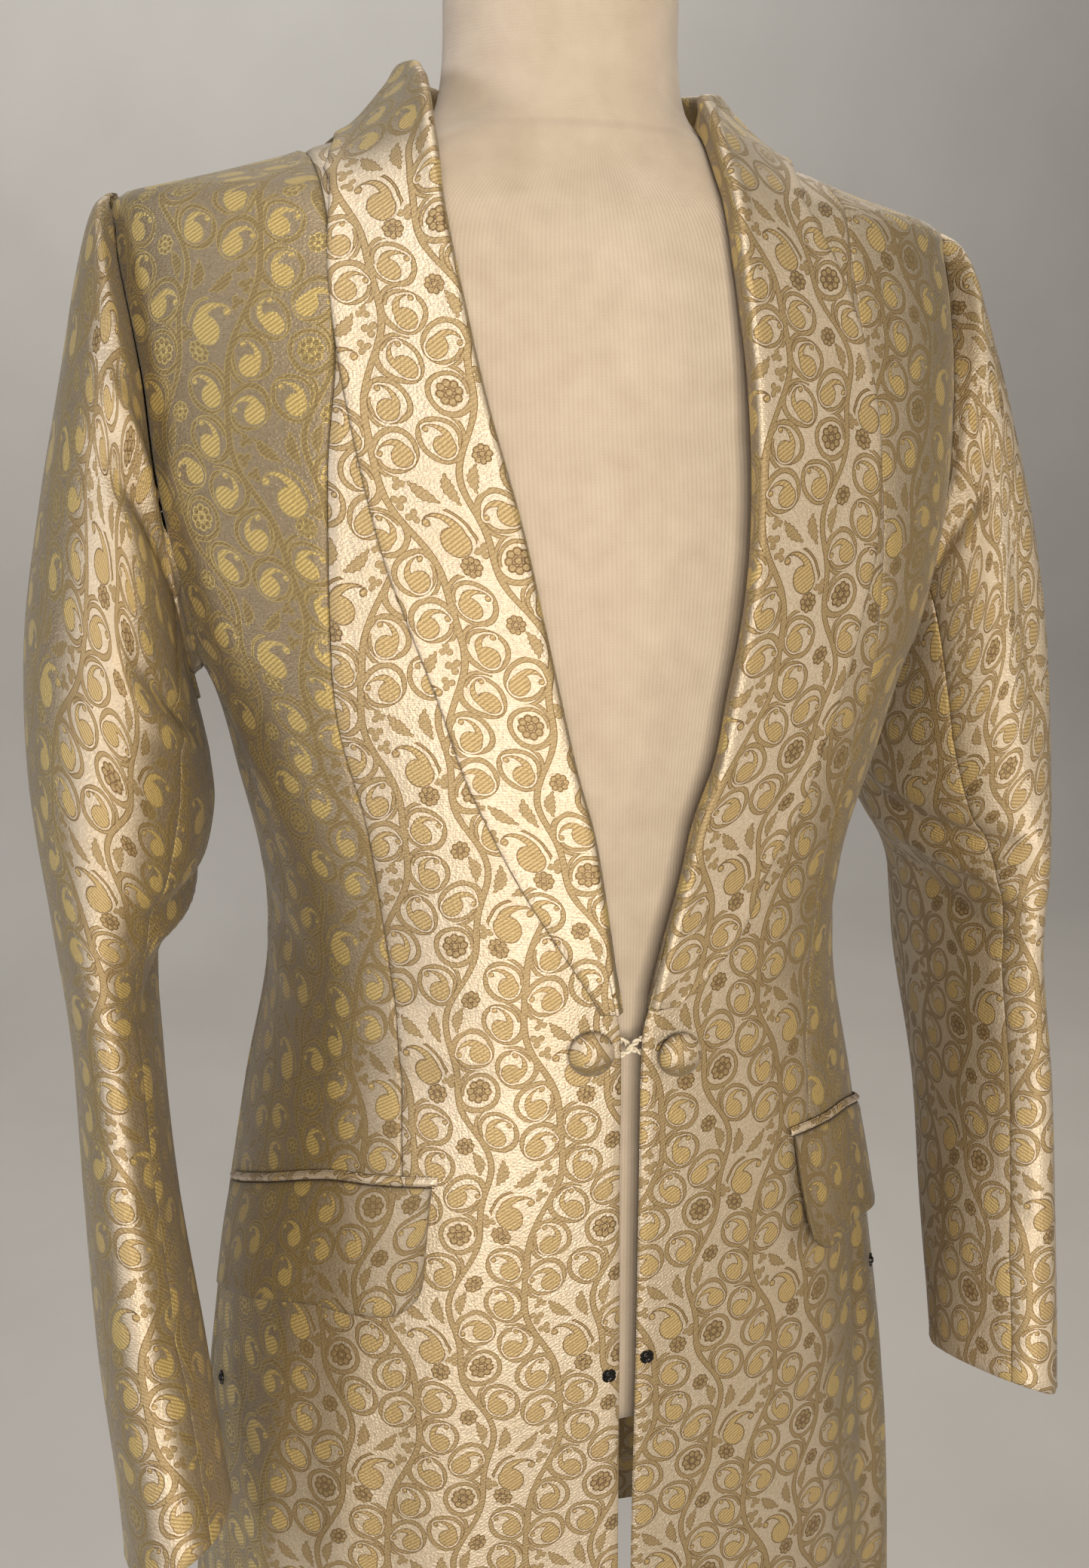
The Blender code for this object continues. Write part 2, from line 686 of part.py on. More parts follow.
def make_flap(side, name, lift, material):
    """Make a pocket flap that hangs from the pocket mouth, with a rounded front corner."""
    first = math.radians(POCKET_LINE[0].angle)
    last = math.radians(POCKET_LINE[-1].angle)
    length = (body_point(last, 0.92) - body_point(first, 0.95)).length * 1.12
    shares = [0.0, 0.02, 0.055, 0.11, 0.18, 0.28, 0.40, 0.55, 0.70, 0.85, 1.0]
    drops = 5
    outer = []
    inner = []
    for share in shares:
        angle = first + (last - first) * share
        row = read_table(POCKET_LINE, math.degrees(angle))
        run = share * length
        cut = 0.0
        if run < FLAP_CORNER_RADIUS:
            cut = FLAP_CORNER_RADIUS - math.sqrt(
                FLAP_CORNER_RADIUS**2 - (FLAP_CORNER_RADIUS - run) ** 2
            )
        depth = row.depth - cut
        out_row = []
        in_row = []
        for step in range(drops + 1):
            t = step / drops
            z = row.z - depth * t
            corner = lift * t**2 * math.exp(-((run / 0.04) ** 2))
            bow = 0.0015 * math.sin(math.pi * t)
            away = LAY_GAP + bow + corner
            out_row.append(mirror(body_point(angle, z, away + WALL), side))
            in_row.append(mirror(body_point(angle, z, away), side))
        outer.append(out_row)
        inner.append(in_row)
    return wall_piece(name, outer, inner, material)


def make_welt(side, name, material):
    """Make the narrow jet that edges the pocket mouth above the flap."""
    outer = []
    inner = []
    columns = 12
    first = math.radians(POCKET_LINE[0].angle - 1.0)
    last = math.radians(POCKET_LINE[-1].angle)
    for step in range(columns + 1):
        angle = first + (last - first) * step / columns
        line = read_table(POCKET_LINE, math.degrees(angle))
        low = line.z + 2.0 * SEAM_GAP
        heights = spread(low, low + WELT_WIDTH, 2)
        crown = (0.0, 0.0008, 0.0)
        outer.append(
            [mirror(body_point(angle, z, LAY_GAP + WALL + more), side) for z, more in zip(heights, crown)]
        )
        inner.append([mirror(body_point(angle, z, LAY_GAP), side) for z in heights])
    return wall_piece(name, outer, inner, material)


def turned_piece(name, profile, sides, frame, material):
    """Make a solid of revolution from (radius, height) points, closed at both ends.

    frame is the foot of the axis and the axis direction.
    """
    foot, axis = frame
    across = axis.orthogonal().normalized()
    third = axis.cross(across)
    work = bmesh.new()
    loops = []
    for radius, height in profile:
        loop = []
        for step in range(sides):
            turn = 2.0 * math.pi * step / sides
            place = foot + axis * height
            place = place + across * (radius * math.cos(turn)) + third * (radius * math.sin(turn))
            loop.append(work.verts.new(place))
        loops.append(loop)
    for low, high in zip(loops, loops[1:]):
        for step in range(sides):
            after = (step + 1) % sides
            work.faces.new((low[step], low[after], high[after], high[step]))
    work.faces.new(list(reversed(loops[0])))
    work.faces.new(loops[-1])
    bmesh.ops.recalc_face_normals(work, faces=work.faces)
    mesh = bpy.data.meshes.new(name)
    work.to_mesh(mesh)
    work.free()
    return add_object(name, mesh, material)


def surface_frame(side, angle, z, away):
    """Return the foot and axis of a small piece that stands on the coat."""
    return mirror(body_point(angle, z, away), side), mirror(ring_normal(angle, z), side)


def make_button(button, material):
    """Make a cloth-covered domed button with a low shank."""
    radius = BUTTON_DIAMETER / 2.0
    high = BUTTON_HEIGHT
    profile = [
        (0.35 * radius, 0.0),
        (0.35 * radius, 0.13 * high),
        (0.90 * radius, 0.18 * high),
        (radius, 0.40 * high),
        (0.82 * radius, 0.76 * high),
        (0.45 * radius, 0.96 * high),
        (0.10 * radius, high),
    ]
    angle = angle_at_distance(button.distance, button.z)
    frame = surface_frame(button.side, angle, button.z, BUTTON_SEAT)
    return turned_piece(button.name, profile, 16, frame, material)


def make_stud(stud, material):
    """Make a small round press stud sewn to the coat's face."""
    radius = STUD_DIAMETER / 2.0
    profile = [
        (0.80 * radius, 0.0),
        (radius, 0.25 * STUD_HEIGHT),
        (0.92 * radius, 0.45 * STUD_HEIGHT),
        (0.45 * radius, 0.55 * STUD_HEIGHT),
        (0.40 * radius, STUD_HEIGHT),
    ]
    frame = surface_frame(stud.side, math.radians(stud.angle), stud.z, SEAM_GAP)
    return turned_piece(stud.name, profile, 10, frame, material)


def make_link_cord(name, material):
    """Make the cord that links the two fronts: one closed loop crossed between the edges."""
    reach = 0.0225
    half_height = 0.0042
    count = 32
    level = 1.034
    seat = WALL + SEAM_GAP + CORD_DIAMETER / 2.0 + 0.0008
    cross = CORD_DIAMETER / 2.0 + 0.0005
    points = []
    for step in range(count):
        turn = 2.0 * math.pi * step / count
        x = reach * math.sin(turn)
        z = level + half_height * math.sin(2.0 * turn)
        y = body_point(abs(angle_at_distance(abs(x), z)), z, -seat).y
        near_middle = math.exp(-((x / 0.0055) ** 2))
        y += (0.0012 - cross * math.cos(turn)) * near_middle
        points.append((x, y, z))
    curve = bpy.data.curves.new(name, "CURVE")
    curve.dimensions = "3D"
    curve.bevel_depth = CORD_DIAMETER / 2.0
    curve.bevel_resolution = 2
    spline = curve.splines.new("POLY")
    spline.points.add(count - 1)
    for place, point in zip(spline.points, points):
        place.co = (*point, 1.0)
    spline.use_cyclic_u = True
    curve.materials.append(material)
    piece = bpy.data.objects.new(name, curve)
    bpy.context.scene.collection.objects.link(piece)
    return piece


def form_inset(angle, z):
    """Return how far the dress form lies inside the coat's outer surface.

    It carries the coat at the shoulder seams, is a little off it beside them, and narrows below.
    """
    off_shoulder = 1.0 - math.exp(-(((abs(math.degrees(angle)) - 90.0) / 22.0) ** 2))
    seat = WALL + FORM_SEAT + 0.0024 * off_shoulder
    if z >= SHOULDER_TIP_Z:
        return seat
    drop = min((SHOULDER_TIP_Z - z) / 0.11, 1.0)
    near_tip = min((SHOULDER_TIP_Z - z) / 0.05, 1.0)
    side_room = 0.010 * math.sin(angle) ** 4 * near_tip
    return seat + 0.0125 * drop**1.1 + side_room + 0.002 * min(near_tip * 4.0, 1.0)


def loft(name, loops, material):
    """Make a closed solid through loops of points, capped at both ends."""
    work = bmesh.new()
    rings = [[work.verts.new(point) for point in loop] for loop in loops]
    sides = len(loops[0])
    for low, high in zip(rings, rings[1:]):
        for step in range(sides):
            after = (step + 1) % sides
            work.faces.new((low[step], low[after], high[after], high[step]))
    work.faces.new(list(reversed(rings[0])))
    work.faces.new(rings[-1])
    bmesh.ops.recalc_face_normals(work, faces=work.faces)
    mesh = bpy.data.meshes.new(name)
    work.to_mesh(mesh)
    work.free()
    return add_object(name, mesh, material)


def make_form_torso(name, material):
    """Make the dress form: a smooth torso without limbs, up to the top of its neck."""
    sides = 28
    heights = [FORM_BOTTOM_Z, 0.800, 0.860, 0.920, 0.980, 1.040, 1.100, 1.160, 1.210, 1.260,
               1.310, 1.360, 1.395, 1.420, 1.436, 1.446, 1.4525, 1.458, 1.464, 1.4695, 1.477]
    loops = []
    for index, z in enumerate(heights):
        tuck = 0.012 if index == 0 else 0.0
        loop = []
        for step in range(sides):
            angle = 2.0 * math.pi * step / sides
            signed = angle if angle <= math.pi else angle - 2.0 * math.pi
            side = 1 if signed >= 0.0 else -1
            inset = form_inset(signed, z) + tuck
            point = mirror(body_point(abs(signed), z, -inset), side)
            if z < SHOULDER_TIP_Z:
                point.z = z
            loop.append(point)
        loops.append(loop)
    for ring in FORM_NECK:
        loops.append(
            [
                Vector(
                    (
                        ring.half_width * math.sin(2.0 * math.pi * step / sides),
                        ring.middle_y
                        - ring.half_depth * math.cos(2.0 * math.pi * step / sides),
                        ring.z,
                    )
                )
                for step in range(sides)
            ]
        )
    return loft(name, loops, material)


def make_stand(steel, paint, wood):
    """Make the neck cap, the pole with its hub and the round base."""
    upright = Vector((0.0, 0.0, 1.0))
    top = FORM_NECK[-1]
    cap_foot = Vector((0.0, top.middle_y, FORM_TOP_Z + SEAM_GAP))
    cap = [
        (top.half_width - 0.001, 0.0),
        (top.half_width, 0.25 * CAP_HEIGHT),
        (top.half_width - 0.001, 0.60 * CAP_HEIGHT),
        (0.75 * top.half_width, 0.90 * CAP_HEIGHT),
        (0.20 * top.half_width, CAP_HEIGHT),
    ]
    turned_piece("form_neck_cap", cap, 28, (cap_foot, upright), wood)

    base = [
        (BASE_RADIUS - 0.002, 0.0),
        (BASE_RADIUS, 0.003),
        (BASE_RADIUS, 0.010),
        (BASE_RADIUS - 0.006, BASE_HEIGHT - 0.003),
        (BASE_RADIUS - 0.020, BASE_HEIGHT),
    ]
    turned_piece("stand_base", base, 40, (Vector((0.0, 0.0, 0.0)), upright), paint)

    hub_foot = BASE_HEIGHT + SEAM_GAP
    pole_top = FORM_BOTTOM_Z - SEAM_GAP - hub_foot
    pole = [
        (HUB_RADIUS, 0.0),
        (HUB_RADIUS, 0.006),
        (HUB_RADIUS - 0.008, 0.012),
        (POLE_RADIUS + 0.005, HUB_HEIGHT - 0.004),
        (POLE_RADIUS, HUB_HEIGHT),
        (POLE_RADIUS, pole_top - 0.020),
        (HUB_RADIUS, pole_top - 0.006),
        (HUB_RADIUS, pole_top),
    ]
    turned_piece("stand_pole", pole, 20, (Vector((0.0, 0.0, hub_foot)), upright), steel)


def main():
    """Build every piece of the coat and of the form it stands on."""
    clear_scene()
    brocade = make_material("brocade", BROCADE)
    cord_silk = make_material("cord_silk", CORD_SILK)
    stud_metal = make_material("stud_metal", STUD_METAL)
    levels = body_levels()
    for side, word in ((-1, "right"), (1, "left")):
        make_front(side, f"front_{word}", levels, brocade)
        make_side_front(side, f"side_front_{word}", levels, brocade)
        make_back(side, f"back_{word}", levels, brocade)
        make_sleeve(side, f"topsleeve_{word}", f"undersleeve_{word}", brocade)
        make_collar(side, f"collar_{word}", brocade)
        make_flap(side, f"pocket_flap_{word}", 0.006 if side > 0 else 0.002, brocade)
        make_welt(side, f"pocket_welt_{word}", brocade)
    for button in BUTTONS:
        make_button(button, brocade)
    for stud in STUDS:
        make_stud(stud, stud_metal)
    make_link_cord("link_cord", cord_silk)
    make_form_torso("form_torso", make_material("form_jersey", FORM_JERSEY))
    make_stand(
        make_material("stand_steel", STAND_STEEL),
        make_material("base_paint", BASE_PAINT),
        make_material("cap_wood", CAP_WOOD),
    )


main()
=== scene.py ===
"""Looks of the day coat on its dress form.

The coat is cut from a figured jacquard: cream satin ground, taupe scrolling vines and old-gold
paisleys.  Every panel is a thin shell on the form of its solid, with its own map in metres, so
the woven figure runs upright on each cut piece and breaks at the seams as on a sewn coat.

Metres, +Z up.  The front faces -Y and the wearer's left is +X.
"""

import json
import logging
import math
from collections.abc import Sequence
from dataclasses import dataclass
from enum import Enum
from typing import NamedTuple, TypeVar

import bmesh
import bpy
import numpy as np
from mathutils import Matrix, Vector

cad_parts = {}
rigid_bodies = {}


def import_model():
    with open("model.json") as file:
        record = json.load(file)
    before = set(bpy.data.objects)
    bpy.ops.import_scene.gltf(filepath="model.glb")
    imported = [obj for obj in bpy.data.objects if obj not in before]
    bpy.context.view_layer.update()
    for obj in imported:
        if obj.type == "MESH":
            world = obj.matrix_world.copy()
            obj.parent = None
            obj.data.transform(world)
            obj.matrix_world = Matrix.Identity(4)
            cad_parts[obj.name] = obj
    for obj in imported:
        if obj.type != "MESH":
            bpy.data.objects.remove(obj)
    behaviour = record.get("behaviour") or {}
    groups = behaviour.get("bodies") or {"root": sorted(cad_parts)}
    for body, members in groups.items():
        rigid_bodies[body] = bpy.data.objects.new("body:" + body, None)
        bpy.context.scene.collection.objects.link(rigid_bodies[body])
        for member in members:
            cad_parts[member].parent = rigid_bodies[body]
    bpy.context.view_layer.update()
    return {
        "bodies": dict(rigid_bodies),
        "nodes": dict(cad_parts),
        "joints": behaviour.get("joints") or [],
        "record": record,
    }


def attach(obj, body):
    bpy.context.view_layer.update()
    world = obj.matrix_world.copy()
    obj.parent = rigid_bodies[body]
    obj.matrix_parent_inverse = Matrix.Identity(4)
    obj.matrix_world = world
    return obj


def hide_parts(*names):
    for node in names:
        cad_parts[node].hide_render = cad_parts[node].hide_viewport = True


LOG = logging.getLogger("day_coat")
Array = np.ndarray
Row = TypeVar("Row", bound=tuple)

# The cloth's wall, the gaps at a seam and under a piece that lies on another, and a cut edge's round
WALL = 0.002
SEAM_GAP = 0.0003
LAY_GAP = 0.0010
EDGE_ROUND = 0.0009
# What share of the wall the round of a cut edge takes off on each side
ROUNDED_SHARE = 0.42
# A seam's groove beside the edge, and the soft ridge that follows it
GROOVE_REACH = 0.0024
RIDGE_AT = 0.0048
RIDGE_REACH = 0.0022
RIDGE_SHARE = 0.7
# Distances of a sheet's first rows from its edge
EDGE_ROWS = (0.0, 0.00025, 0.0006, 0.0011, 0.0022)
# The narrowest side that is stated for a cut piece
NARROWEST_CUT = 0.012
# Painted satin shade: the direction the painted light comes from, and from how far aside and over how
# far the shade sets in, in degrees; then the most shade it reaches
PAINTED_LIGHT_AZIMUTH = -6.0
PAINTED_SHADE_FROM = 20.0
PAINTED_SHADE_OVER = 30.0
PAINTED_SHADE_MOST = 0.95
# Heights in metres, and seams as angles from the centre front in degrees
HEM_Z = 0.480
POCKET_JOIN_Z = 0.905
NECKLINE_Z = 1.4835
SHOULDER_TIP_Z = 1.446
UNDERARM_Z = 1.215
SIDE_SEAM = 93.0
SHOULDER_SEAM = 90.0
CENTRE_BACK = 180.0
# The padded form: its height, and its seat below the shoulders' cloth
FORM_BOTTOM_Z = 0.790
FORM_TOP_Z = 1.575
FORM_SEAT = 0.0008


def rows_of(kind: type[Row], *rows: tuple) -> tuple[Row, ...]:
    """Return a table's rows as rows of their kind."""
    return tuple(kind(*row) for row in rows)


class Sided(NamedTuple):
    """A number for the wearer's right and one for the left."""

    right: float
    left: float

    def at(self, side: int) -> float:
        """Return the number of a side."""
        return self.right if side < 0 else self.left


# Painted satin shade of each piece, from 0 for the lit tones to 1 for the shaded tones of the weave
FRONT_PAINTED_SHADE = Sided(0.05, 0.30)
BESIDE_POCKET_PAINTED_SHADE = Sided(0.70, 0.35)
SIDE_FRONT_PAINTED_SHADE = Sided(0.30, 0.45)
SHOULDER_PAINTED_SHADE = Sided(0.85, 0.45)
BACK_PAINTED_SHADE = 0.15
TOPSLEEVE_PAINTED_SHADE = Sided(0.12, 0.0)
UNDERSLEEVE_PAINTED_SHADE = Sided(0.35, 0.10)
COLLAR_PAINTED_SHADE = Sided(0.0, 0.15)
FLAP_PAINTED_SHADE = 0.40
JET_PAINTED_SHADE = 0.0
# How much more painted shade goes where the cloth faces aside from the painted light
PAINTED_SHADE_TURN = 0.9
SLEEVE_PAINTED_SHADE_TURN = Sided(0.9, 0.4)
JET_PAINTED_SHADE_TURN = 0.25


class BodyRing(NamedTuple):
    """A level ring of the coat body."""

    z: float
    half_width: float
    front: float
    back: float
    widest_y: float
    squareness: float


BODY_RINGS = rows_of(
    BodyRing,
    (0.480, 0.2320, -0.176, 0.152, -0.010, 2.20),
    (0.720, 0.2190, -0.160, 0.137, -0.030, 2.20),
    (0.860, 0.2020, -0.156, 0.128, -0.012, 2.25),
    (0.960, 0.1840, -0.154, 0.117, 0.000, 2.30),
    (1.040, 0.1670, -0.153, 0.094, 0.004, 2.30),
    (1.100, 0.1680, -0.150, 0.090, 0.002, 2.30),
    (1.160, 0.1800, -0.147, 0.102, -0.016, 2.30),
    (1.200, 0.1890, -0.146, 0.110, -0.024, 2.35),
    (1.240, 0.2050, -0.144, 0.116, -0.022, 2.40),
    (1.300, 0.2205, -0.138, 0.119, -0.010, 2.40),
    (1.360, 0.2264, -0.124, 0.116, -0.005, 2.30),
    (1.400, 0.2276, -0.111, 0.108, 0.000, 2.20),
    (1.430, 0.2255, -0.098, 0.099, 0.003, 2.10),
    (1.446, 0.2215, -0.090, 0.091, 0.005, 2.00),
    (1.455, 0.1870, -0.084, 0.084, 0.005, 2.00),
    (1.465, 0.1500, -0.078, 0.078, 0.003, 2.00),
    (1.475, 0.1160, -0.072, 0.070, 0.000, 2.00),
    (1.487, 0.0780, -0.062, 0.060, -0.004, 2.00),
)

# Soft upright flutes of the skirt: angle in degrees, half width in degrees, rise at the hem
FLUTE_TOP_Z = 0.930
FLUTES = ((24.0, 9.0, 0.005), (58.0, 7.0, 0.013), (104.0, 9.0, 0.014), (146.0, 10.0, 0.011))


class SidedEdge(NamedTuple):
    """An edge as a distance from the centre front, on each side of the wearer."""

    z: float
    right: float
    left: float


FRONT_EDGE = rows_of(
    SidedEdge,
    (0.480, 0.0025, 0.0045),
    (0.720, 0.0025, 0.0050),
    (0.850, 0.0035, 0.0058),
    (0.960, 0.0050, 0.0055),
    (1.040, 0.0060, 0.0055),
    (1.056, 0.0085, 0.0090),
    (1.088, 0.0140, 0.0170),
    (1.120, 0.0190, 0.0260),
    (1.150, 0.0245, 0.0330),
    (1.180, 0.0330, 0.0440),
    (1.214, 0.0410, 0.0500),
    (1.250, 0.0490, 0.0570),
    (1.288, 0.0570, 0.0610),
    (1.350, 0.0715, 0.0630),
    (1.404, 0.0800, 0.0615),
    (1.446, 0.0850, 0.0610),
    (1.465, 0.0860, 0.0600),
    (1.4835, 0.0840, 0.0600),
)
LAPEL_EDGE = rows_of(
    SidedEdge,
    (1.056, 0.0175, 0.0220),
    (1.070, 0.0250, 0.0400),
    (1.088, 0.0360, 0.0580),
    (1.120, 0.0550, 0.0740),
    (1.150, 0.0700, 0.0930),
    (1.180, 0.0830, 0.1050),
    (1.214, 0.0940, 0.1160),
    (1.250, 0.1070, 0.1250),
    (1.288, 0.1190, 0.1330),
    (1.350, 0.1300, 0.1345),
    (1.404, 0.1335, 0.1220),
    (1.446, 0.1290, 0.1030),
)


class LapelRoll(NamedTuple):
    """How high the roll stands on the lapel, and how far it leans over the edge."""

    z: float
    height: float
    lean: float


LAPEL_ROLL = rows_of(
    LapelRoll,
    (1.056, 0.0048, 0.0),
    (1.120, 0.0070, 0.0005),
    (1.250, 0.0080, 0.0010),
    (1.404, 0.0095, 0.0010),
    (1.446, 0.0120, 0.0020),
)


class CollarClimb(NamedTuple):
    """The collar from the lapel to the side of the neck, by the height of its base."""

    base_z: float
    edge_angle: float
    edge_z: float
    height: float
    lean: float


RIGHT_CLIMB = rows_of(
    CollarClimb,
    (1.4460, 35.6, 1.4460, 0.0160, 0.003),
    (1.4580, 45.0, 1.4570, 0.0190, 0.005),
    (1.4695, 57.0, 1.4665, 0.0215, 0.008),
    (NECKLINE_Z, 73.0, 1.4732, 0.0235, 0.011),
)
LEFT_CLIMB = rows_of(
    CollarClimb,
    (1.4460, 27.7, 1.4460, 0.0110, 0.002),
    (1.4580, 34.0, 1.4545, 0.0120, 0.003),
    (1.4695, 44.0, 1.4635, 0.0130, 0.004),
    (NECKLINE_Z, 59.0, 1.4702, 0.0140, 0.005),
)


class CollarNeck(NamedTuple):
    """The collar round the neck, by the angle of its base."""

    base_angle: float
    edge_angle: float
    edge_z: float
    right_height: float
    left_height: float
    lean: float


COLLAR_NECK = rows_of(
    CollarNeck,
    (42.0, 59.0, 1.4702, 0.0200, 0.0140, 0.005),
    (70.0, 74.0, 1.4735, 0.0235, 0.0175, 0.011),
    (90.0, 93.0, 1.4755, 0.0245, 0.0205, 0.014),
    (112.0, 114.0, 1.4700, 0.0250, 0.0235, 0.014),
    (135.0, 136.0, 1.4600, 0.0260, 0.0255, 0.013),
    (158.0, 158.0, 1.4510, 0.0270, 0.0270, 0.012),
    (179.9, 179.9, 1.4480, 0.0280, 0.0280, 0.012),
)
COLLAR_TURN_RADIUS = 0.0026


class SeamDistance(NamedTuple):
    """The seam between front and side front, as a distance from the centre front."""

    z: float
    distance: float


PRINCESS_SEAM = rows_of(
    SeamDistance,
    (0.905, 0.1150),
    (0.970, 0.1150),
    (1.020, 0.1140),
    (1.050, 0.1150),
    (1.100, 0.1200),
    (1.150, 0.1270),
    (1.200, 0.1390),
    (1.240, 0.1420),
    (1.320, 0.1400),
    (1.365, 0.1340),
    (1.410, 0.1310),
    (1.446, 0.1330),
    (1.4695, 0.1345),
)


class Armhole(NamedTuple):
    """The armhole's front and back edge, as angles."""

    z: float
    front: float
    back: float


ARMHOLE = rows_of(
    Armhole,
    (1.2150, 93.0, 93.0),
    (1.2207, 86.0, 100.0),
    (1.2371, 79.0, 107.0),
    (1.2626, 75.0, 112.0),
    (1.3305, 73.0, 116.0),
    (1.3662, 73.5, 114.0),
    (1.3984, 78.0, 108.0),
    (1.4239, 85.0, 99.0),
    (1.4403, 88.5, 93.0),
    (1.4460, 90.0, 90.0),
)


class SleeveRing(NamedTuple):
    """One ring of the sleeve: its outer and inner line, its middle, half depth and tip."""

    outer_x: float
    outer_z: float
    inner_x: float
    inner_z: float
    middle_y: float
    half_depth: float
    tip: float


SLEEVE_RINGS = rows_of(
    SleeveRing,
    (0.2340, 1.4405, 0.2010, 1.206, -0.003, 0.058, 0.0),
    (0.2445, 1.4100, 0.1990, 1.196, -0.005, 0.067, 0.0),
    (0.2560, 1.3600, 0.1965, 1.183, -0.008, 0.076, 0.0),
    (0.2700, 1.3000, 0.1940, 1.165, -0.012, 0.083, 0.0),
    (0.2820, 1.2350, 0.1940, 1.140, -0.018, 0.087, 0.0),
    (0.2850, 1.1650, 0.2050, 1.105, -0.029, 0.086, 3.0),
    (0.2790, 1.0950, 0.2260, 1.072, -0.042, 0.081, 9.0),
    (0.2735, 1.0300, 0.2280, 1.020, -0.056, 0.075, 16.0),
    (0.2720, 0.9600, 0.2250, 0.955, -0.086, 0.067, 19.0),
    (0.2700, 0.8850, 0.2170, 0.885, -0.112, 0.061, 20.0),
    (0.2650, 0.8250, 0.2120, 0.835, -0.134, 0.057, 21.0),
    (0.2630, 0.7830, 0.2090, 0.806, -0.146, 0.054, 21.0),
)
FRONT_SLEEVE_SEAM = 126.0
BACK_SLEEVE_SEAM = 252.0
# How far the first three rows of the sleeve head run in to meet the armhole
HEAD_REACH = (0.0024, 0.0017, 0.0008)


class PocketLine(NamedTuple):
    """The pocket mouth, and the depth of the flap below it."""

    angle: float
    z: float
    depth: float


POCKET_LINE = rows_of(
    PocketLine,
    (30.0, 0.963, 0.071),
    (40.0, 0.960, 0.072),
    (52.0, 0.955, 0.070),
    (70.0, 0.935, 0.066),
    (88.0, 0.911, 0.062),
)
FLAP_CORNER_RADIUS = 0.019
WELT_WIDTH = 0.005


class FormRing(NamedTuple):
    """One ring of the dress form's neck."""

    z: float
    half_width: float
    half_depth: float
    middle_y: float


FORM_NECK = rows_of(
    FormRing,
    (1.4825, 0.0740, 0.0600, -0.007),
    (1.4930, 0.0655, 0.0580, -0.006),
    (1.5150, 0.0610, 0.0565, -0.005),
    (1.5450, 0.0600, 0.0570, -0.005),
    (FORM_TOP_Z, 0.0590, 0.0570, -0.005),
)


class Fold(NamedTuple):
    """A soft ridge or trough between two places of a surface.

    side is +1 for the wearer's left, -1 for the right and 0 for both.  On the body the places
    are an angle in degrees and a height; on a sleeve a turn in degrees and a ring number.
    """

    side: int
    start: tuple[float, float]
    end: tuple[float, float]
    width: float
    rise: float


BODY_FOLDS = rows_of(
    Fold,
    (-1, (12.0, 1.040), (44.0, 1.062), 0.010, -0.0012),
    (-1, (13.0, 1.024), (50.0, 1.010), 0.011, -0.0014),
    (-1, (14.0, 1.032), (55.0, 1.036), 0.009, 0.0012),
    (-1, (88.0, 1.215), (72.0, 1.110), 0.013, -0.0024),
    (-1, (80.0, 1.230), (66.0, 1.150), 0.011, 0.0018),
    (-1, (92.0, 1.085), (64.0, 1.068), 0.010, -0.0018),
    (-1, (92.0, 1.056), (70.0, 1.046), 0.009, 0.0016),
    (-1, (40.0, 0.890), (44.0, 0.600), 0.022, 0.0024),
    (-1, (35.0, 0.860), (33.0, 0.520), 0.018, -0.0022),
    (1, (12.0, 1.036), (40.0, 1.058), 0.010, -0.0012),
    (1, (13.0, 1.020), (48.0, 1.004), 0.012, -0.0016),
    (1, (86.0, 1.220), (70.0, 1.105), 0.012, -0.0022),
    (1, (78.0, 1.240), (62.0, 1.140), 0.012, 0.0016),
    (1, (92.0, 1.092), (58.0, 1.074), 0.010, -0.0020),
    (1, (50.0, 0.940), (50.0, 0.520), 0.010, -0.0030),
    (1, (66.0, 0.900), (67.0, 0.500), 0.012, -0.0026),
    (1, (36.0, 0.900), (38.0, 0.560), 0.020, 0.0020),
    (0, (118.0, 1.300), (150.0, 1.180), 0.016, 0.0022),
    (0, (112.0, 1.250), (138.0, 1.120), 0.014, -0.0022),
    (0, (100.0, 1.080), (146.0, 1.066), 0.011, -0.0020),
    (0, (102.0, 1.050), (140.0, 1.034), 0.011, 0.0018),
    (0, (150.0, 1.420), (170.0, 1.360), 0.016, -0.0016),
    (0, (166.0, 0.960), (170.0, 0.560), 0.018, 0.0022),
)
# Metres for a degree and for a metre or a ring, at a fold's places
BODY_FOLD_SCALE = (0.0033, 1.0)
SLEEVE_FOLD_SCALE = (0.0012, 0.055)
SLEEVE_FOLDS = rows_of(
    Fold,
    (-1, (120.0, 1.0), (60.0, 2.9), 0.010, -0.0054),
    (-1, (100.0, 1.0), (46.0, 2.4), 0.010, 0.0041),
    (-1, (150.0, 3.4), (84.0, 4.0), 0.008, -0.0041),
    (-1, (140.0, 3.9), (72.0, 4.6), 0.008, 0.0032),
    (-1, (190.0, 5.6), (118.0, 6.4), 0.009, -0.0049),
    (-1, (176.0, 6.1), (112.0, 7.0), 0.009, 0.0038),
    (-1, (200.0, 6.7), (126.0, 7.6), 0.008, -0.0041),
    (-1, (300.0, 2.0), (330.0, 6.0), 0.020, -0.0032),
    (1, (66.0, 2.6), (74.0, 6.0), 0.018, -0.0046),
    (1, (40.0, 2.2), (48.0, 5.4), 0.018, 0.0035),
    (1, (118.0, 1.0), (78.0, 2.4), 0.011, -0.0049),
    (1, (188.0, 5.4), (96.0, 6.7), 0.010, -0.0057),
    (1, (182.0, 6.1), (104.0, 7.3), 0.009, 0.0041),
    (1, (196.0, 6.8), (122.0, 7.8), 0.008, -0.0043),
    (0, (250.0, 6.0), (312.0, 6.5), 0.011, -0.0032),
    (0, (244.0, 7.0), (304.0, 7.3), 0.011, -0.0030),
    (0, (220.0, 1.2), (262.0, 3.0), 0.013, -0.0041),
    (0, (150.0, 9.6), (80.0, 10.3), 0.012, -0.0024),
)


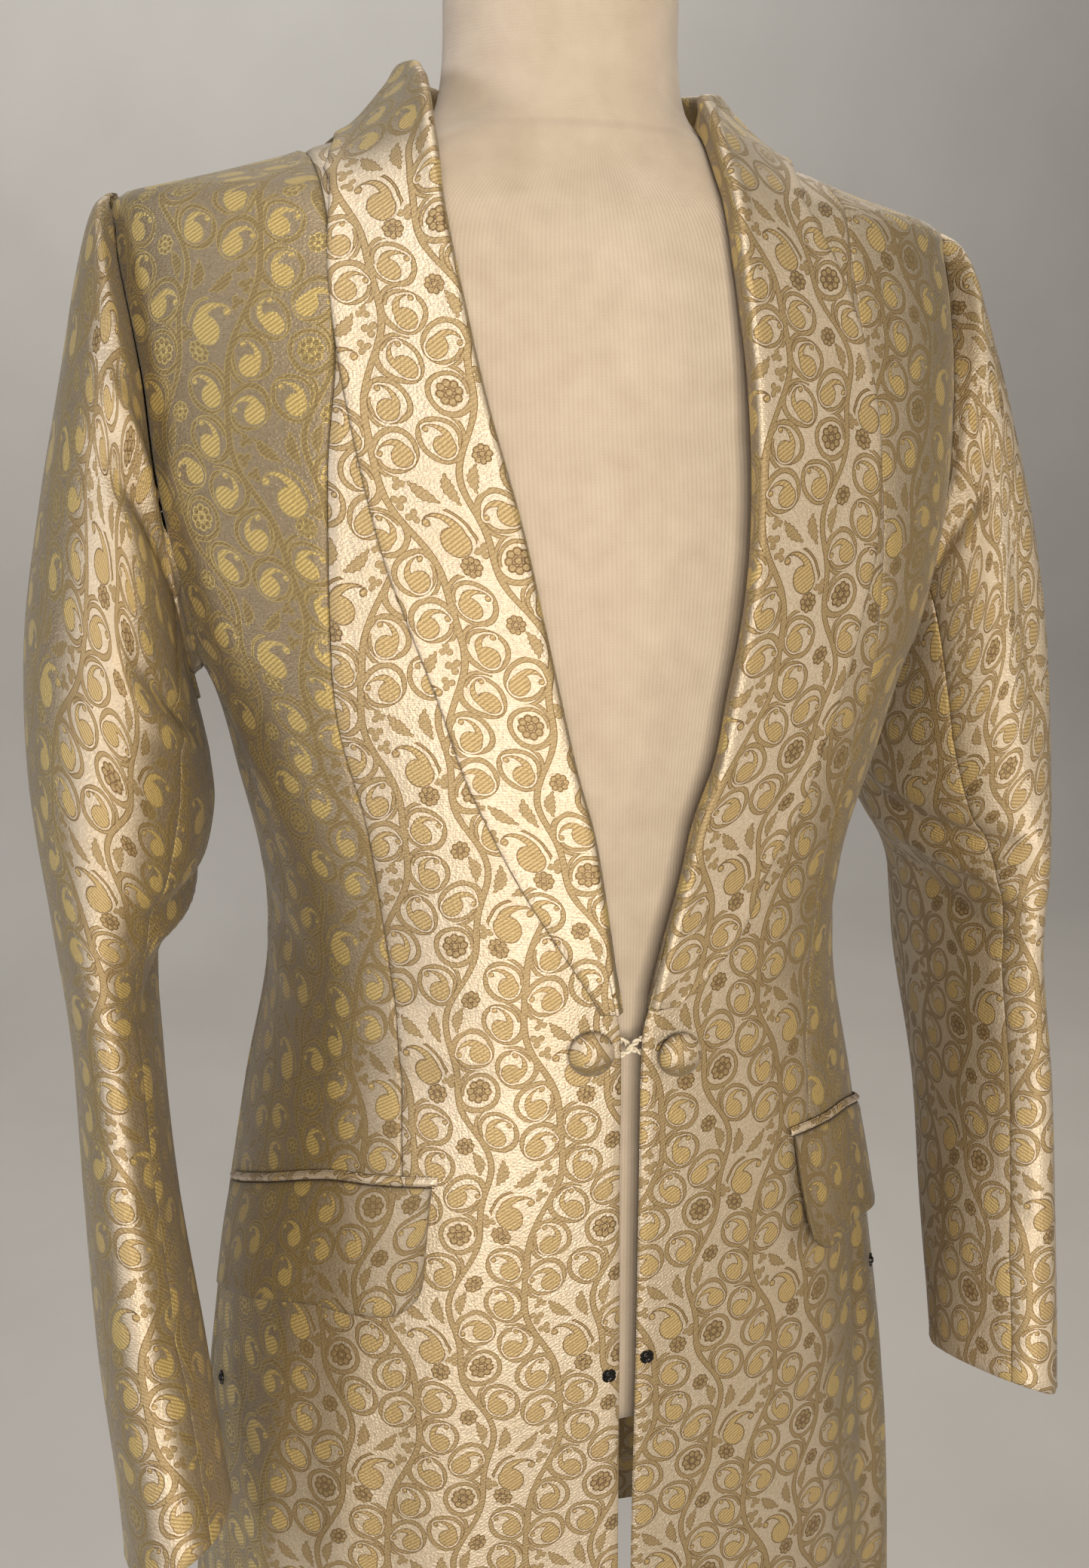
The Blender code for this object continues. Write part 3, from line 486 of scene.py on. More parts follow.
def blend(ends: tuple[Array, Array], slopes: tuple[Array, Array], share: Array) -> Array:
    """Return the values a share of the way between two ends, on smooth curves.

    Args:
        ends: The values at both ends.
        slopes: The slopes at both ends, over the whole way.
        share: How far each value is, from 0 to 1.

    Returns:
        The values.
    """
    t = share
    return (
        (2 * t**3 - 3 * t**2 + 1) * ends[0]
        + (t**3 - 2 * t**2 + t) * slopes[0]
        + (3 * t**2 - 2 * t**3) * ends[1]
        + (t**3 - t**2) * slopes[1]
    )


def read_rows(rows: Sequence[NamedTuple], key: Array | float) -> NamedTuple:
    """Read a table at many keys at once, smooth between its rows.

    Args:
        rows: The table's rows, in rising order of their first column.
        key: Values of the first column.

    Returns:
        A row whose columns are arrays of the key's shape.
    """
    table = np.array(rows, dtype=float)
    keys = table[:, 0]
    key = np.clip(np.asarray(key, dtype=float), keys[0], keys[-1])
    index = np.clip(np.searchsorted(keys, key, side="left") - 1, 0, len(keys) - 2)
    order = np.arange(len(keys))
    low = np.maximum(order - 1, 0)
    high = np.minimum(order + 1, len(keys) - 1)
    slopes = (table[high] - table[low]) / (keys[high] - keys[low])[:, None]
    step = (keys[index + 1] - keys[index])[..., None]
    share = (key - keys[index])[..., None] / step
    ends = (table[index], table[index + 1])
    values = blend(ends, (step * slopes[index], step * slopes[index + 1]), share)
    values[..., 0] = key
    return type(rows[0])(*np.moveaxis(values, -1, 0))


def blend_stations(places: Array, level: Array) -> Array:
    """Return places on smooth curves through stations.

    Args:
        places: The stations, along the first axis.
        level: How far along them each place is, as a station's number with its part.

    Returns:
        The places.
    """
    slopes = np.gradient(places, axis=0)
    index = np.clip(np.floor(level).astype(int), 0, len(places) - 2)
    share = (level - index)[:, None, None]
    ends = (places[index], places[index + 1])
    return blend(ends, (slopes[index], slopes[index + 1]), share)


def unit(vectors: Array) -> Array:
    """Return the vectors at length one."""
    return vectors / np.maximum(np.linalg.norm(vectors, axis=-1, keepdims=True), 1e-12)


def fold_rise(
    folds: Sequence[Fold], side: int, place: tuple[Array, Array], scale: tuple[float, float]
) -> Array:
    """Return how far the folds lift a surface at many places.

    Args:
        folds: The surface's folds.
        side: The wearer's side.
        place: The two coordinates in which the folds are given.
        scale: Metres for one unit of each coordinate.

    Returns:
        The rise at each place, in metres.
    """
    first, second = np.broadcast_arrays(*place)
    total = np.zeros(first.shape)
    for fold in folds:
        if fold.side not in (0, side):
            continue
        run = ((fold.end[0] - fold.start[0]) * scale[0], (fold.end[1] - fold.start[1]) * scale[1])
        off = ((first - fold.start[0]) * scale[0], (second - fold.start[1]) * scale[1])
        t = np.clip((off[0] * run[0] + off[1] * run[1]) / (run[0] ** 2 + run[1] ** 2), 0.0, 1.0)
        distance = np.hypot(off[0] - t * run[0], off[1] - t * run[1])
        taper = np.sin(math.pi * (0.06 + 0.88 * t)) ** 0.8
        total = total + fold.rise * taper * np.exp(-((distance / fold.width) ** 2))
    return total


@dataclass(frozen=True)
class CoatSurface:
    """The coat body's outer surface on one side of the wearer."""

    side: int

    def bare(self, angle: Array, z: Array) -> Array:
        """Return the places at angles (radians) and heights, on the left side, without folds."""
        angle, z = np.broadcast_arrays(angle, z)
        ring = read_rows(BODY_RINGS, z)
        forward = np.copysign(np.abs(np.cos(angle)) ** (2.0 / ring.squareness), np.cos(angle))
        sideways = np.copysign(np.abs(np.sin(angle)) ** (2.0 / ring.squareness), np.sin(angle))
        reach = np.where(forward > 0.0, ring.front, ring.back)
        y = ring.widest_y + (reach - ring.widest_y) * np.abs(forward)
        ramp = np.clip((FLUTE_TOP_Z - z) / (FLUTE_TOP_Z - HEM_Z), 0.0, None) ** 1.2
        degrees = np.abs(np.degrees(angle))
        rise = sum(high * np.exp(-(((degrees - at) / wide) ** 2)) for at, wide, high in FLUTES)
        rise = rise * ramp
        return np.stack(
            [ring.half_width * sideways + rise * np.sin(angle), y - rise * np.cos(angle), z],
            axis=-1,
        )

    def bare_normal(self, angle: Array, z: Array) -> Array:
        """Return the outward directions on the left side."""
        turn = math.radians(0.6)
        around = self.bare(angle + turn, z) - self.bare(angle - turn, z)
        upward = self.bare(angle, z + 0.0015) - self.bare(angle, z - 0.0015)
        return unit(np.cross(around, upward))

    def flip(self, vectors: Array) -> Array:
        """Return vectors on the wearer's side."""
        return vectors * np.array([self.side, 1.0, 1.0])

    def place(self, angle: Array, z: Array, out: Array | float = 0.0) -> Array:
        """Return the places a distance outside the surface, without folds."""
        out = np.asarray(out, dtype=float)[..., None]
        return self.flip(self.bare(angle, z) + self.bare_normal(angle, z) * out)

    def draped(self, angle: Array, z: Array) -> tuple[Array, Array]:
        """Return the places on the folded cloth, and the outward directions."""
        rise = fold_rise(BODY_FOLDS, self.side, (np.degrees(angle), z), BODY_FOLD_SCALE)
        normal = self.flip(self.bare_normal(angle, z))
        return self.place(angle, z, rise), normal

    def angle_at(self, distance: Array, z: Array) -> Array:
        """Return the angles where the front is a distance from the centre front."""
        ring = read_rows(BODY_RINGS, z)
        share = np.clip(distance / ring.half_width, 0.0, 1.0)
        return np.arcsin(share ** (ring.squareness / 2.0))

    def sided(self, rows: Sequence[SidedEdge], z: Array) -> Array:
        """Return a two-sided table's angles on this side."""
        row = read_rows(rows, z)
        return self.angle_at(row.right if self.side < 0 else row.left, z)

    def shift(self, angle: Array, z: Array, distance: float) -> Array:
        """Return the angles moved along the surface by a small distance."""
        turn = math.radians(0.5)
        length = np.linalg.norm(self.bare(angle + turn, z) - self.bare(angle - turn, z), axis=-1)
        return angle + distance * 2.0 * turn / length

    def cloth_map(self, angle: Array, z: Array, grain_angle: float) -> Array:
        """Return the map of a panel in metres: across from its grain line, and up along it.

        Args:
            angle: Angles of the grid, one row for each height.
            z: Heights of the grid.
            grain_angle: Where the grain runs upright, in degrees.

        Returns:
            The map's two coordinates at each place of the grid.
        """
        across = np.empty(angle.shape)
        sweep = np.radians(np.linspace(0.0, 180.0, 181))
        for row in range(len(angle)):
            points = self.bare(sweep, np.full(sweep.shape, z[row, 0]))
            run = length_along(points)
            middle = np.interp(math.radians(grain_angle), sweep, run)
            across[row] = self.side * (np.interp(angle[row], sweep, run) - middle)
        heights = np.linspace(HEM_Z, NECKLINE_Z, 300)
        points = self.bare(np.full(heights.shape, math.radians(min(grain_angle, 150.0))), heights)
        return np.stack([across, np.interp(z, heights, length_along(points))], axis=-1)


@dataclass(frozen=True)
class SleeveSurface:
    """A sleeve's outer surface, by its turn (0 outside, a quarter turn in front) and ring."""

    side: int
    rope: float = 0.0022

    def loops(self, turn: Array) -> Array:
        """Return the armhole loop and the rings at many turns, one row for each loop."""
        coat = CoatSurface(1)
        middle = (SHOULDER_TIP_Z + UNDERARM_Z) / 2.0
        half = (SHOULDER_TIP_Z - UNDERARM_Z) / 2.0
        z = middle + half * np.cos(turn)
        row = read_rows(ARMHOLE, z)
        angle = np.radians(np.where(np.sin(turn) >= 0.0, row.front, row.back))
        loops = [coat.bare(angle, z) + np.array([SEAM_GAP, 0.0, 0.0])]
        for ring in SLEEVE_RINGS:
            outer = np.array([ring.outer_x, ring.middle_y, ring.outer_z])
            inner = np.array([ring.inner_x, ring.middle_y, ring.inner_z])
            tip = math.radians(ring.tip)
            forward = np.array([0.0, -math.cos(tip), math.sin(tip)]) * ring.half_depth
            loops.append(
                (outer + inner) / 2.0
                + (outer - inner) / 2.0 * np.cos(turn)[..., None]
                + forward * np.sin(turn)[..., None]
            )
        return np.array(loops)

    def place(self, turn: Array, level: Array) -> Array:
        """Return the places at a grid of turns (radians, columns) and ring numbers (rows)."""
        return blend_stations(self.loops(turn), level)

    def draped(self, turn: Array, level: Array) -> tuple[Array, Array]:
        """Return the places on the folded sleeve, and the outward directions."""
        points = self.place(turn, level)
        around = self.place(turn + 0.01, level) - self.place(turn - 0.01, level)
        low = np.clip(level - 0.02, 0.0, len(SLEEVE_RINGS))
        high = np.clip(level + 0.02, 0.0, len(SLEEVE_RINGS))
        down = self.place(turn, high) - self.place(turn, low)
        normal = unit(np.cross(down, around))
        outward = points - points.mean(axis=1, keepdims=True)
        normal = np.where((normal * outward).sum(-1, keepdims=True) < 0.0, -normal, normal)
        degrees = np.degrees(turn) % 360.0
        grid = np.meshgrid(degrees, level)
        rise = fold_rise(SLEEVE_FOLDS, self.side, (grid[0], grid[1]), SLEEVE_FOLD_SCALE)
        near_head = np.exp(-(((grid[1] - 0.30) / 0.28) ** 2))
        over_top = np.clip(np.cos(np.radians(grid[0])), 0.0, 1.0) ** 0.7
        rise = rise + self.rope * near_head * over_top
        settle = np.clip(grid[1] / 0.12, 0.0, 1.0)
        points = points + normal * (rise * settle)[..., None]
        flip = CoatSurface(self.side).flip
        return flip(points), flip(normal)


def stand_for(piece: bpy.types.Object, node: str) -> None:
    """Hide the solid that a finished piece stands for, hang the piece on the root body and log its
    name.
    """
    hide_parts(node)
    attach(piece, "root")
    LOG.info("%s", piece.name)


def edge_steps(count: int, length: float) -> Array:
    """Return shares from 0 to 1, closer together beside both edges so that these can be round."""
    near = np.array(EDGE_ROWS) / length
    inner = np.linspace(near[-1], 1.0 - near[-1], count)
    return np.concatenate([near[:-1], inner, 1.0 - near[:-1][::-1]])


def spread(values: Array, count: int) -> Array:
    """Return the values of rows, repeated in a number of columns."""
    return np.repeat(values[:, None], count, axis=1)


def length_along(points: Array, axis: int = 0) -> Array:
    """Return the length from the first place of each row of a grid, or of one line of places."""
    steps = np.linalg.norm(np.diff(points, axis=axis), axis=-1)
    start = np.zeros_like(np.take(steps, [0], axis=axis))
    return np.concatenate([start, np.cumsum(steps, axis=axis)], axis=axis)


def edge_distance(points: Array) -> Array:
    """Return each grid place's distance along the cloth to the nearest edge of the grid."""
    across = length_along(points, axis=1)
    up = length_along(points)
    return np.minimum(np.minimum(across, across[:, -1:] - across), np.minimum(up, up[-1:] - up))


class Held(Enum):
    """How a sheet of cloth is held."""

    HUNG = "hung"
    FOLDED = "folded"
    STRETCHED = "stretched"


@dataclass
class ClothPiece:
    """One cut piece of cloth as a thin closed shell with round edges.

    Attributes:
        node: The solid that it stands for.
        outer: Grid of places on the face side.
        normal: Outward directions at those places.
        cloth_map: The map in metres.
        laid_at: Where the map starts on the woven figure.
        held: How it is held; not used.
        rests_on: What carries it.
        edges: Distance of each place to the nearest cut edge, where the grid's own isn't right.
        keep: Which cells are cloth, or None for all.
        seam_sink: How far the cloth is pressed in beside its edges.
        painted_edge_shade: How much shade is painted along its cut edges and seams, from 0 to 1.
        painted_satin_shade: Painted shade of its satin, from 0 for lit tones to 1 for shaded tones.
        painted_shade_turn: How much more painted shade it gets where the cloth faces aside, from 0 to
            1.
    """

    node: str
    outer: Array
    normal: Array
    cloth_map: Array
    laid_at: tuple[float, float]
    held: Held = Held.HUNG
    rests_on: tuple[str, ...] = ("form_torso",)
    edges: Array | None = None
    keep: Array | None = None
    seam_sink: float = 0.0007
    painted_edge_shade: float = 0.30
    painted_satin_shade: Array | float = 0.3
    painted_shade_turn: float = PAINTED_SHADE_TURN

    @property
    def name(self) -> str:
        """Return the piece's name."""
        return f"{self.node}_cloth"

    def layers(self) -> tuple[Array, Array, Array]:
        """Return the face layer, the back layer and the distance to the edge."""
        edges = edge_distance(self.outer) if self.edges is None else self.edges
        share = np.clip(1.0 - edges / EDGE_ROUND, 0.0, 1.0)
        sink = ROUNDED_SHARE * WALL * (1.0 - np.sqrt(1.0 - share**2))
        groove = np.exp(-((edges / GROOVE_REACH) ** 2))
        ridge = np.exp(-(((edges - RIDGE_AT) / RIDGE_REACH) ** 2))
        pressed = self.seam_sink * (groove - RIDGE_SHARE * ridge)
        face = self.outer - self.normal * (sink + pressed)[..., None]
        back = self.outer - self.normal * (WALL - sink + 0.5 * pressed)[..., None]
        return face, back, edges

    def faces(self) -> tuple[list[tuple[int, ...]], int, float]:
        """Return the shell's faces, how many are on the face side, and that side's area."""
        rows, columns = self.outer.shape[:2]
        keep = np.ones((rows - 1, columns - 1), bool) if self.keep is None else self.keep
        index = np.arange(rows * columns).reshape(rows, columns)
        low, high = index[:-1], index[1:]
        corners = np.stack([low[:, :-1], low[:, 1:], high[:, 1:], high[:, :-1]], axis=-1)
        cells = corners[keep]
        diagonal = self.outer[1:, 1:] - self.outer[:-1, :-1]
        other = self.outer[1:, :-1] - self.outer[:-1, 1:]
        area = float(np.linalg.norm(np.cross(diagonal, other), axis=-1)[keep].sum() / 2.0)
        total = rows * columns
        starts = cells.reshape(-1)
        ends = np.roll(cells, -1, axis=1).reshape(-1)
        pairs = set(zip(starts.tolist(), ends.tolist()))
        rim = [(a, b) for a, b in pairs if (b, a) not in pairs]
        faces = [tuple(cell) for cell in cells.tolist()]
        count = len(faces)
        faces += [tuple(total + k for k in reversed(cell)) for cell in cells.tolist()]
        faces += [(b, a, total + a, total + b) for a, b in sorted(rim)]
        return faces, count, area

    def painted_shade_where_turned(self) -> Array:
        """Return the painted satin shade, deeper where the cloth faces aside from the painted light.
        """
        normal = unit(np.cross(np.gradient(self.outer, axis=0), np.gradient(self.outer, axis=1)))
        wrong = (normal * self.normal).sum(axis=-1, keepdims=True) < 0.0
        normal = np.where(wrong, -normal, normal)
        turn = np.degrees(np.arctan2(normal[..., 0], -normal[..., 1])) - PAINTED_LIGHT_AZIMUTH
        aside = np.abs((turn + 90.0) % 180.0 - 90.0)
        share = np.clip((aside - PAINTED_SHADE_FROM) / PAINTED_SHADE_OVER, 0.0, 1.0)
        share = share * share * (3.0 - 2.0 * share)
        return self.painted_satin_shade + (PAINTED_SHADE_MOST - self.painted_satin_shade) * self.painted_shade_turn * share

    def build(self, face: bpy.types.Material, back: bpy.types.Material) -> bpy.types.Object:
        """Make the shell, dress it and say what it replaces.

        Args:
            face: The cloth's face side.
            back: The cloth's reverse.

        Returns:
            The finished piece.
        """
        face_layer, back_layer, edges = self.layers()
        faces, count, area = self.faces()
        points = np.concatenate([face_layer.reshape(-1, 3), back_layer.reshape(-1, 3)])
        maps = np.concatenate([self.cloth_map.reshape(-1, 2)] * 2) + np.array(self.laid_at)
        # Painted shadow that darkens the cloth along its cut edges and seams
        tone = self.painted_edge_shade * np.exp(-edges / 0.0011)
        # Painted satin shade: lit tones where the cloth faces the painted light, shaded tones where
        # it turns aside
        marks = {"painted_edge_shade": tone, "painted_satin_shade": self.painted_shade_where_turned()}
        doubled = {name: np.concatenate([mark.reshape(-1)] * 2) for name, mark in marks.items()}
        piece = mesh_piece(self.name, points, faces, maps, doubled)
        slots = np.zeros(len(piece.data.polygons), dtype=np.int32)
        slots[count : 2 * count] = 1
        piece.data.polygons.foreach_set("material_index", slots)
        piece.data.materials.append(face)
        piece.data.materials.append(back)
        span = maps.max(axis=0) - maps.min(axis=0)
        width, length = (max(round(float(value) + 0.002, 3), NARROWEST_CUT) for value in span)
        stand_for(piece, self.node)
        list(self.rests_on)
        min(area, width * length)
        LOG.info("cut %.3f x %.3f m, %.4f m2", width, length, area)
        return piece


def mark_points(mesh: bpy.types.Mesh, marks: dict[str, Array]) -> None:
    """Store numbers at a mesh's points, by the names that the materials read them by."""
    for name, values in marks.items():
        layer = mesh.attributes.new(name, "FLOAT", "POINT")
        layer.data.foreach_set("value", values.astype(np.float32))


def put_in_scene(name: str, data: bpy.types.ID) -> bpy.types.Object:
    """Return a new object in the scene with its data."""
    item = bpy.data.objects.new(name, data)
    bpy.context.scene.collection.objects.link(item)
    return item


def mesh_piece(
    name: str,
    points: Array,
    faces: Sequence[Sequence[int]],
    maps: Array | None = None,
    marks: dict[str, Array] | None = None,
) -> bpy.types.Object:
    """Make a smooth closed mesh with outward faces, a map and marks for its shading.

    Args:
        name: The piece's name.
        points: Its points.
        faces: Its faces, as point numbers.
        maps: The map's coordinates at the points.
        marks: Numbers at the points, by the name the material reads them by.

    Returns:
        The piece, with no material yet.
    """
    mesh = bpy.data.meshes.new(name)
    mesh.from_pydata(points.tolist(), [], faces)
    mark_points(mesh, marks or {})
    work = bmesh.new()
    work.from_mesh(mesh)
    bmesh.ops.recalc_face_normals(work, faces=work.faces)
    if maps is not None:
        layer = work.loops.layers.uv.new("cloth")
        for polygon in work.faces:
            for corner in polygon.loops:
                corner[layer].uv = maps[corner.vert.index]
    loose = [point for point in work.verts if not point.link_faces]
    bmesh.ops.delete(work, geom=loose, context="VERTS")
    work.to_mesh(mesh)
    work.free()
    mesh.shade_smooth()
    return put_in_scene(name, mesh)


def linear_colour(code: str) -> tuple[float, float, float, float]:
    """Return an sRGB hex colour as linear red, green, blue and alpha."""
    values = [int(code[k : k + 2], 16) / 255.0 for k in (1, 3, 5)]
    linear = [v / 12.92 if v <= 0.04045 else ((v + 0.055) / 1.055) ** 2.4 for v in values]
    return (linear[0], linear[1], linear[2], 1.0)


def feed(tree: bpy.types.NodeTree, node: bpy.types.Node, inputs: dict[object, object]) -> None:
    """Set or link a node's inputs, by their name or place."""
    for name, value in inputs.items():
        value = value.socket if isinstance(value, Number) else value
        if isinstance(value, bpy.types.NodeSocket):
            tree.links.new(value, node.inputs[name])
        else:
            node.inputs[name].default_value = value


def add_node(
    tree: bpy.types.NodeTree,
    kind: str,
    settings: dict[str, object] | None = None,
    inputs: dict[object, object] | None = None,
) -> bpy.types.Node:
    """Add a node with its settings, and set or link its inputs.

    Args:
        tree: The node tree.
        kind: The node's type name.
        settings: Properties of the node.
        inputs: Values, sockets or numbers by input name or place.

    Returns:
        The new node.
    """
    node = tree.nodes.new(kind)
    for name, value in (settings or {}).items():
        setattr(node, name, value)
    feed(tree, node, inputs or {})
    return node


class Number:
    """A number of a node tree that is worked on with the usual signs."""

    def __init__(self, tree: bpy.types.NodeTree, socket: bpy.types.NodeSocket) -> None:
        """Take the socket that the number comes from."""
        self.tree = tree
        self.socket = socket

    def to(self, operation: str, *others: object, clamp: bool = False) -> "Number":
        """Return the result of one Math operation on this number and others."""
        inputs = dict(enumerate((self, *others)))
        settings = {"operation": operation, "use_clamp": clamp}
        node = add_node(self.tree, "ShaderNodeMath", settings, inputs)
        return Number(self.tree, node.outputs[0])

    def __add__(self, other: object) -> "Number":
        """Return the sum."""
        return self.to("ADD", other)

    def __sub__(self, other: object) -> "Number":
        """Return the difference."""
        return self.to("SUBTRACT", other)

    def __mul__(self, other: object) -> "Number":
        """Return the product."""
        return self.to("MULTIPLY", other)

    def __neg__(self) -> "Number":
        """Return the number with its sign turned."""
        return self.to("MULTIPLY", -1.0)

    def inside(self, blur: float = 0.20) -> "Number":
        """Return 1 where this distance is below zero, 0 outside, soft over the blur."""
        return self.to("MULTIPLY_ADD", -1.0 / blur, 0.5, clamp=True)

    def least(self, other: object) -> "Number":
        """Return the smaller number."""
        return self.to("MINIMUM", other)

    def most(self, other: object) -> "Number":
        """Return the larger number."""
        return self.to("MAXIMUM", other)


def cloth_millimetres(tree: bpy.types.NodeTree) -> tuple[Number, Number]:
    """Return a place on a piece's map in millimetres: across its grain, and up along it."""
    cloth = add_node(tree, "ShaderNodeUVMap", {"uv_map": "cloth"})
    parts = add_node(tree, "ShaderNodeSeparateXYZ", None, {0: cloth.outputs[0]})
    return Number(tree, parts.outputs[0]) * 1000.0, Number(tree, parts.outputs[1]) * 1000.0


class Filling(Enum):
    """What a motif of the woven figure is, with its key in the chart."""

    RINGED_PAISLEY = 0.0
    RINGED_ROSETTE = 0.2
    LONE_PAISLEY = 0.4
    FREE_ROSETTE = 0.6
    LEAF = 0.8
    BUD = 1.0


# A distance in millimetres at which nothing of a motif shows
FAR = 40.0
# How far each kind of motif keeps its neighbours away, in millimetres
ROOM = {
    Filling.RINGED_PAISLEY: 11.6,
    Filling.RINGED_ROSETTE: 11.6,
    Filling.LONE_PAISLEY: 12.4,
    Filling.FREE_ROSETTE: 5.4,
    Filling.LEAF: 7.4,
    Filling.BUD: 4.2,
}


class Motif(NamedTuple):
    """One motif of the repeat: its kind, place in millimetres, turns in degrees and size."""

    filling: Filling
    across: float
    up: float
    ring_turn: float
    filling_turn: float
    size: float = 1.0


# Half of the repeat; the other half is its mirror image, half a repeat higher.  The places come
# from a separate packing calculation with random starts and are rounded to 0.1 mm.  They are not
# worked out in this file.  The kinds and sizes are listed one by one.
MOTIFS = rows_of(
    Motif,
    (Filling.RINGED_PAISLEY, 15.3, 62.8, 205.0, 20.0),
    (Filling.RINGED_PAISLEY, 38.7, 50.0, 10.0, 330.0),
    (Filling.RINGED_ROSETTE, 62.5, 67.6, 15.0, 0.0),
    (Filling.RINGED_PAISLEY, 33.6, 4.3, 335.0, 40.0),
    (Filling.RINGED_PAISLEY, 17.3, 40.4, 190.0, 315.0),
    (Filling.RINGED_PAISLEY, 38.7, 27.7, 350.0, 10.0),
    (Filling.RINGED_PAISLEY, 72.0, 47.3, 30.0, 345.0),
    (Filling.RINGED_PAISLEY, 54.7, 12.0, 165.0, 300.0),
    (Filling.LONE_PAISLEY, 4.6, 3.6, 0.0, 335.0),
    (Filling.FREE_ROSETTE, 41.1, 66.5, 0.0, 0.0),
    (Filling.FREE_ROSETTE, 54.8, 38.5, 0.0, 0.0, 0.94),
    (Filling.LEAF, 72.9, 24.1, 0.0, 350.0, 1.1),
    (Filling.LEAF, 60.7, 28.3, 0.0, 15.0),
    (Filling.LEAF, 9.9, 21.4, 0.0, 310.0, 1.1),
    (Filling.BUD, 22.2, 18.2, 0.0, 40.0),
    (Filling.BUD, 19.8, 26.5, 0.0, 200.0, 0.9),
    (Filling.BUD, 18.4, 10.7, 0.0, 120.0, 0.9),
    (Filling.BUD, 46.9, 74.1, 0.0, 300.0),
)


class Stem(NamedTuple):
    """A winding stem of the repeat: its middle, two swings and where they start, in radians."""

    middle: float
    swing: float
    start: float
    second_swing: float
    half_width: float


STEMS = rows_of(
    Stem,
    (19.0, 10.5, 0.0, 1.6, 1.6),
    (57.0, 10.0, 0.9, -1.8, 1.5),
)


class Disc(NamedTuple):
    """A disc of the paisley: its middle and radius in millimetres."""

    across: float
    up: float
    radius: float


# A paisley: its round end, the outer and the inner curve of its horn, and the knob at the tip
PAISLEY_END = Disc(-0.2, -3.3, 4.7)
HORN_OUTSIDE = Disc(2.2, -0.6, 7.1)
HORN_INSIDE = Disc(3.9, 0.5, 5.3)
PAISLEY_KNOB = Disc(4.3, 4.7, 1.35)


class WovenTones(NamedTuple):
    """The colours of the weave as painted for one lighting: lit, or in shade."""

    ground: str
    ground_shade: str
    vine: str
    outline: str
    gold: str
    gold_shade: str


@dataclass(frozen=True)
class BrocadeWeave:
    """The figured jacquard's sizes in millimetres and its colours."""

    repeat_width: float = 76.0
    repeat_height: float = 156.0
    ring_radius: float = 10.5
    paisley_scale: float = 0.88
    large_scale: float = 1.52
    leaf_length: float = 15.0
    # Lit and shaded copies of the colours, for painted light and shade; the shaded outline is a
    # painted gold glint
    light: WovenTones = WovenTones("#e2d0b6", "#cfb995", "#b89f72", "#6f5126", "#ceb481", "#8a6b39")
    shaded_tones: WovenTones = WovenTones("#84714f", "#6b5a3e", "#6c5833", "#dcc47c", "#d0b66e", "#7a6433")


@dataclass(frozen=True)
class WovenFigure:
    """The figure's parts as numbers between 0 and 1."""

    vine: Number
    gold: Number
    outline: Number
    hatch: Number


